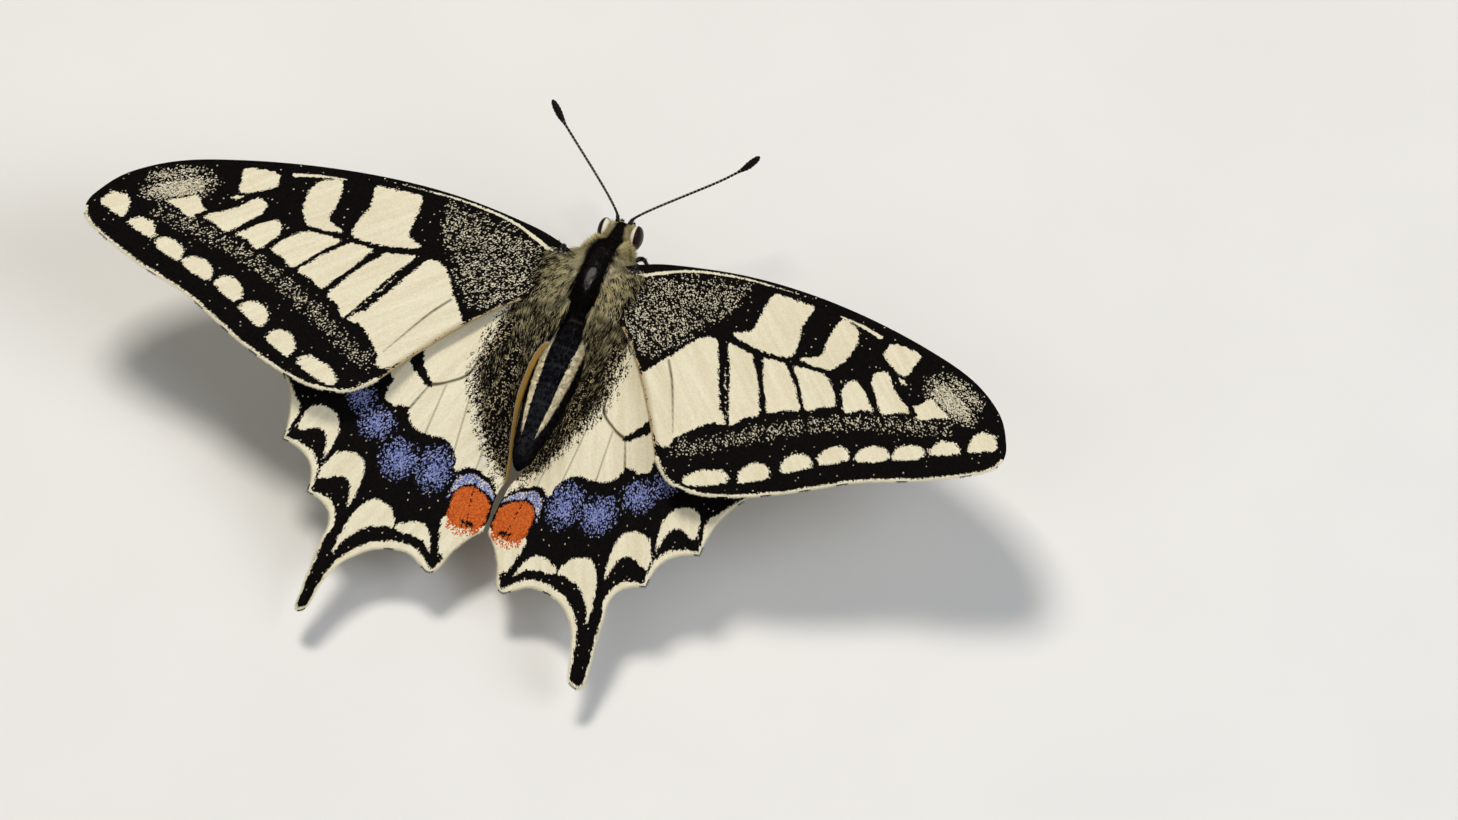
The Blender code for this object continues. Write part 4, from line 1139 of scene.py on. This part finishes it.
ANTENNA = [(0.52, 5.1, -1.3), (0.8, 5.75, -1.0), (2.15, 7.2, -0.75), (4.3, 9.2, -0.4), (6.4, 11.0, 0.1),
           (8.0, 12.2, 0.9), (8.8, 12.8, 1.6), (9.25, 13.07, 2.15)]
JOINT_LENGTH = 0.34
STALK_RADIUS = 0.112
CLUB_GROWTH = 0.21
horn_material = cuticle_and_down("horny_cuticle", 0.42, 0.12, 0.03 * MM)
feeler = spaced(smooth_line(ANTENNA, 12), JOINT_LENGTH / 8)
reach = np.linspace(0, np.linalg.norm(np.diff(feeler, axis=0), axis=1).sum(), len(feeler))
joint = reach / JOINT_LENGTH % 1.0
club = ramp(reach, reach[-1] - 2.6, reach[-1] - 1.2)
tip = np.sqrt(np.clip(1 - ((reach - (reach[-1] - 0.95)) / 0.97).clip(0) ** 2, 0.0004, 1))
foot = np.interp(reach, [0, 0.4, 0.8], [1.8, 1.6, 1])
feeler_radius = (STALK_RADIUS + CLUB_GROWTH * club) * (0.86 + 0.14 * np.sin(joint * math.pi)) * tip * foot
places, faces = tube(feeler, feeler_radius)
banded = np.repeat(ramp(joint, 0.3, 0.15) * (1 - club) * 0.65 * ramp(reach, 0.8, 1.4), 12)
feeler_values = markings(len(places), np.append(banded, [0, 0]), olive=0.3, bare=0.3, shade=0.3)
for letter, side in SIDES.items():
    antenna = new_piece("feeler_" + letter, places * (side, 1, 1), faces[:, ::side], horn_material,
                        feeler_values)
    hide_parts("antenna_" + letter)


# Mouth. Two palps thick with bristly hair turn up before the face, and the tongue is wound like a watch
# spring.
PALP = [(0.48, 5.0, -3.5), (0.52, 5.7, -3.3), (0.53, 6.05, -2.8), (0.5, 6.08, -2.3)]
PALP_HAIRS = 900
TONGUE_CENTRE = np.array([0.0, 4.75, -4.2])
TONGUE_TURNS = 3.2
palp_line = spaced(smooth_line(PALP, 8), 0.1)
palp_radius = np.interp(np.linspace(0, 1, len(palp_line)), [0, 0.2, 0.7, 1], [0.1, 0.2, 0.18, 0.04])
palp_places, palp_faces = tube(palp_line, palp_radius)
rng = np.random.default_rng(9)
picked = rng.integers(1, len(palp_line) - 1, PALP_HAIRS)
spin = rng.random(PALP_HAIRS) * 2 * math.pi
palp_ahead = unit(np.gradient(palp_line, axis=0))[picked]
sideways = np.array([1.0, 0, 0])
palp_normal = unit(np.cross(palp_ahead, sideways)) * np.cos(spin)[:, None] + sideways * np.sin(spin)[:, None]
palp_hair = spikes(palp_line[picked] + 0.12 * palp_normal, palp_normal, palp_ahead,
                   rng.uniform(0.25, 0.5, PALP_HAIRS),
                   *(np.full(PALP_HAIRS, measure) for measure in (0.028, 0.35, 0.1)))
palp_marks = markings(PALP_HAIRS, ramp(palp_normal[:, 2] + palp_normal[:, 1], 0.9, -0.2), olive=0.3,
                      shade=rng.random(PALP_HAIRS))
palp_uv = np.stack([picked / len(palp_line), spin / (2 * math.pi)], axis=1) * 0.9 + 0.05
turns = np.linspace(0, TONGUE_TURNS * 2 * math.pi, 150)
wound = np.interp(turns, [0, turns[-1]], [0.14, 0.56])
tongue_line = TONGUE_CENTRE + np.stack([0.02 * np.sin(turns), wound * np.cos(turns), wound * np.sin(turns)],
                                       axis=1)
tongue_line = np.concatenate([tongue_line,
                              smooth_line([tongue_line[-1], (0, 5.1, -3.55), (0, 4.9, -3.2)], 8)[1:]])
tongue_radius = np.interp(np.arange(len(tongue_line)), [0, 30, 160], [0.03, 0.055, 0.07])
tongue_places, tongue_faces = tube(tongue_line, tongue_radius, 8)
tongue_values = markings(len(tongue_places), 0.1, olive=0.3, bare=0.4, shade=0.7)
tongue = new_piece("tongue", tongue_places, tongue_faces, horn_material, tongue_values)
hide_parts("proboscis")
palp_values = markings(len(palp_places), 0.5, olive=0.3, bare=0.4, shade=0.5)
for letter, side in SIDES.items():
    palp = new_piece("palp_piece_" + letter, palp_places * (side, 1, 1), palp_faces[:, ::side], horn_material,
                     palp_values)
    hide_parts("palp_" + letter)
    hair_piece("palp_hair_" + letter, palp_hair, palp_marks, palp_uv, side)


# Legs. Thin black horny limbs: a stout thigh, a thinner shank with two spurs, five short foot joints and a
# pair of claws, with short hairs, longest and palest on the thigh. Each leg's line runs from the hip through
# its joints to the toe.
LEGS = {
    "fore_leg": [(0.8, 1.9, -4.4), (1.15, 3.9, -4.5), (2.1, 4.1, -3.8), (3.0, 3.1, -3.7), (5.0, 4.9, -8.0),
                 (5.9, 6.1, -9.3), (6.9, 7.7, -9.47)],
    "mid_leg": [(1.3, -1.2, -4.4), (3.4, -0.6, -5.0), (5.6, -1.0, -4.7), (8.0, -2.0, -8.2), (9.4, -2.4, -9.3),
                (11.2, -2.9, -9.47)],
    "hind_leg": [(1.2, -3.6, -4.2), (2.8, -5.6, -5.5), (4.3, -7.8, -5.2), (5.9, -11.0, -8.2),
                 (6.6, -13.2, -9.3), (7.3, -16.0, -9.47)],
}
KNEE_AND_ANKLE = {"fore_leg": (3, 5), "mid_leg": (2, 4), "hind_leg": (2, 4)}
CORNER_STEPS = 6
FOOT_JOINTS = 5
LEG_HAIRS = 420
SOLE = -9.6
CLAW = [(0.0, 0.0), (0.14, 0.05), (0.26, 0.02), (0.34, -0.07)]
UP = np.array([0, 0, 1.0])


def joined(parts):
    """Several meshes as one: their places end to end, and their triangles renumbered to match."""
    starts = np.cumsum([0] + [len(places) for places, _ in parts])
    return (np.concatenate([places for places, _ in parts]),
            np.concatenate([faces + start for (_, faces), start in zip(parts, starts)]))


def limb_line(joints, bend=0.45):
    """A limb's middle line: straight between its joints, with each corner rounded by a parabola that starts
    and ends a bend's length from it. Every joint between the ends gives CORNER_STEPS + 1 points."""
    joints = np.array(joints)
    ahead = unit(np.diff(joints, axis=0))
    t = (np.arange(CORNER_STEPS + 1) / CORNER_STEPS)[:, None]
    corners = [(1 - t) ** 2 * (joint - bend * into) + 2 * t * (1 - t) * joint + t**2 * (joint + bend * away)
               for joint, into, away in zip(joints[1:-1], ahead, ahead[1:])]
    return np.concatenate([joints[:1], *corners, joints[-1:]])


def claws_and_spurs(route, ankle_row):
    """A pair of hooked claws at the toe and a pair of straight spurs at the end of the shank."""
    heading = unit(route[-1] - route[-4])
    sideways = unit(np.cross(heading, UP))
    hook = np.array(CLAW)
    parts = []
    for out in (-1, 1):
        claw = route[-1] + hook[:, :1] * unit(heading + 0.45 * out * sideways) + hook[:, 1:] * UP
        parts.append(tube(smooth_line(claw, 4), np.linspace(0.045, 0.006, 13), 6))
        spur_heading = unit(heading + 0.5 * out * sideways - 0.15 * UP)
        spur = route[ankle_row - 2] + np.linspace(0, 0.75, 6)[:, None] * spur_heading
        parts.append(tube(spur, np.linspace(0.05, 0.008, 6), 6))
    return parts


def leg_hair(route, radius, reach, thigh, shank, rng):
    """Short hairs on a leg, longest and palest on the thigh: the spikes, their markings and their map
    places."""
    picked = (rng.random(LEG_HAIRS) ** 1.4 * (len(route) - 3)).astype(int) + 1
    spin = rng.random(LEG_HAIRS) * 2 * math.pi
    limb_ahead = unit(np.gradient(route, axis=0))[picked]
    across = unit(np.cross(limb_ahead, [0.3, 0.2, 1.0]))
    outward = across * np.cos(spin)[:, None] + np.cross(limb_ahead, across) * np.sin(spin)[:, None]
    length = np.interp(reach[picked], [0, thigh, shank, reach[-1]], [0.75, 0.4, 0.25, 0.14])
    length = length * rng.uniform(0.6, 1.2, LEG_HAIRS)
    root = route[picked] + (radius[picked, None] - 0.03) * outward
    places, faces, along, offsets = spikes(root, outward, limb_ahead, length,
                                           *(np.full(LEG_HAIRS, measure) for measure in (0.024, 0.4, 0.15)))
    pale = np.interp(reach[picked], [0, thigh, shank], [1.0, 0.6, 0.2]) * (rng.random(LEG_HAIRS) < 0.7)
    marks = markings(LEG_HAIRS, pale, olive=0.5, shade=rng.uniform(0.2, 1, LEG_HAIRS))
    hair_uv = np.stack([picked / len(route), spin / (2 * math.pi)], axis=1) * 0.9 + 0.05
    places[:, 2] = np.maximum(places[:, 2], SOLE)
    return (places, faces, along, offsets), marks, hair_uv


for leg_name, joints in LEGS.items():
    rough_route = limb_line(joints)
    knee, ankle = ((CORNER_STEPS + 1) * index - CORNER_STEPS // 2 for index in KNEE_AND_ANKLE[leg_name])
    corner_reach = np.concatenate([[0], np.cumsum(np.linalg.norm(np.diff(rough_route, axis=0), axis=1))])
    thigh, shank, foot = corner_reach[knee], corner_reach[ankle], corner_reach[-1]
    route = spaced(rough_route, 0.12)
    reach = np.linspace(0, foot, len(route))
    radius = np.interp(reach, [0, 0.4 * thigh, 0.95 * thigh, thigh, thigh + 0.3, shank - 0.3, shank, foot],
                       [0.3, 0.26, 0.15, 0.12, 0.14, 0.14, 0.1, 0.08])
    part_way = np.clip((reach - shank) / (foot - shank), 0, 0.999) * FOOT_JOINTS % 1
    radius = radius * np.where(reach > shank, 0.8 + 0.45 * part_way, 1.0)
    places, faces = joined([tube(route, radius, 10),
                            *claws_and_spurs(route, int(np.searchsorted(reach, shank)))])
    places[:, 2] = np.maximum(places[:, 2], SOLE)
    hair, hair_marks, hair_uv = leg_hair(route, radius, reach, thigh, shank,
                                         np.random.default_rng(len(leg_name) + knee))
    mottled = 0.45 + 0.25 * np.sin(places[:, 0] * 9) * np.sin(places[:, 1] * 7)
    values = markings(len(places), 0.12, olive=0.3, bare=0.4, shade=mottled)
    for letter, side in SIDES.items():
        limb = new_piece(leg_name + "_piece_" + letter, places * (side, 1, 1), faces[:, ::side],
                         horn_material, values)
        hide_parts(leg_name + "_" + letter)
        hair_piece(leg_name + "_hair_" + letter, hair, hair_marks, hair_uv, side)
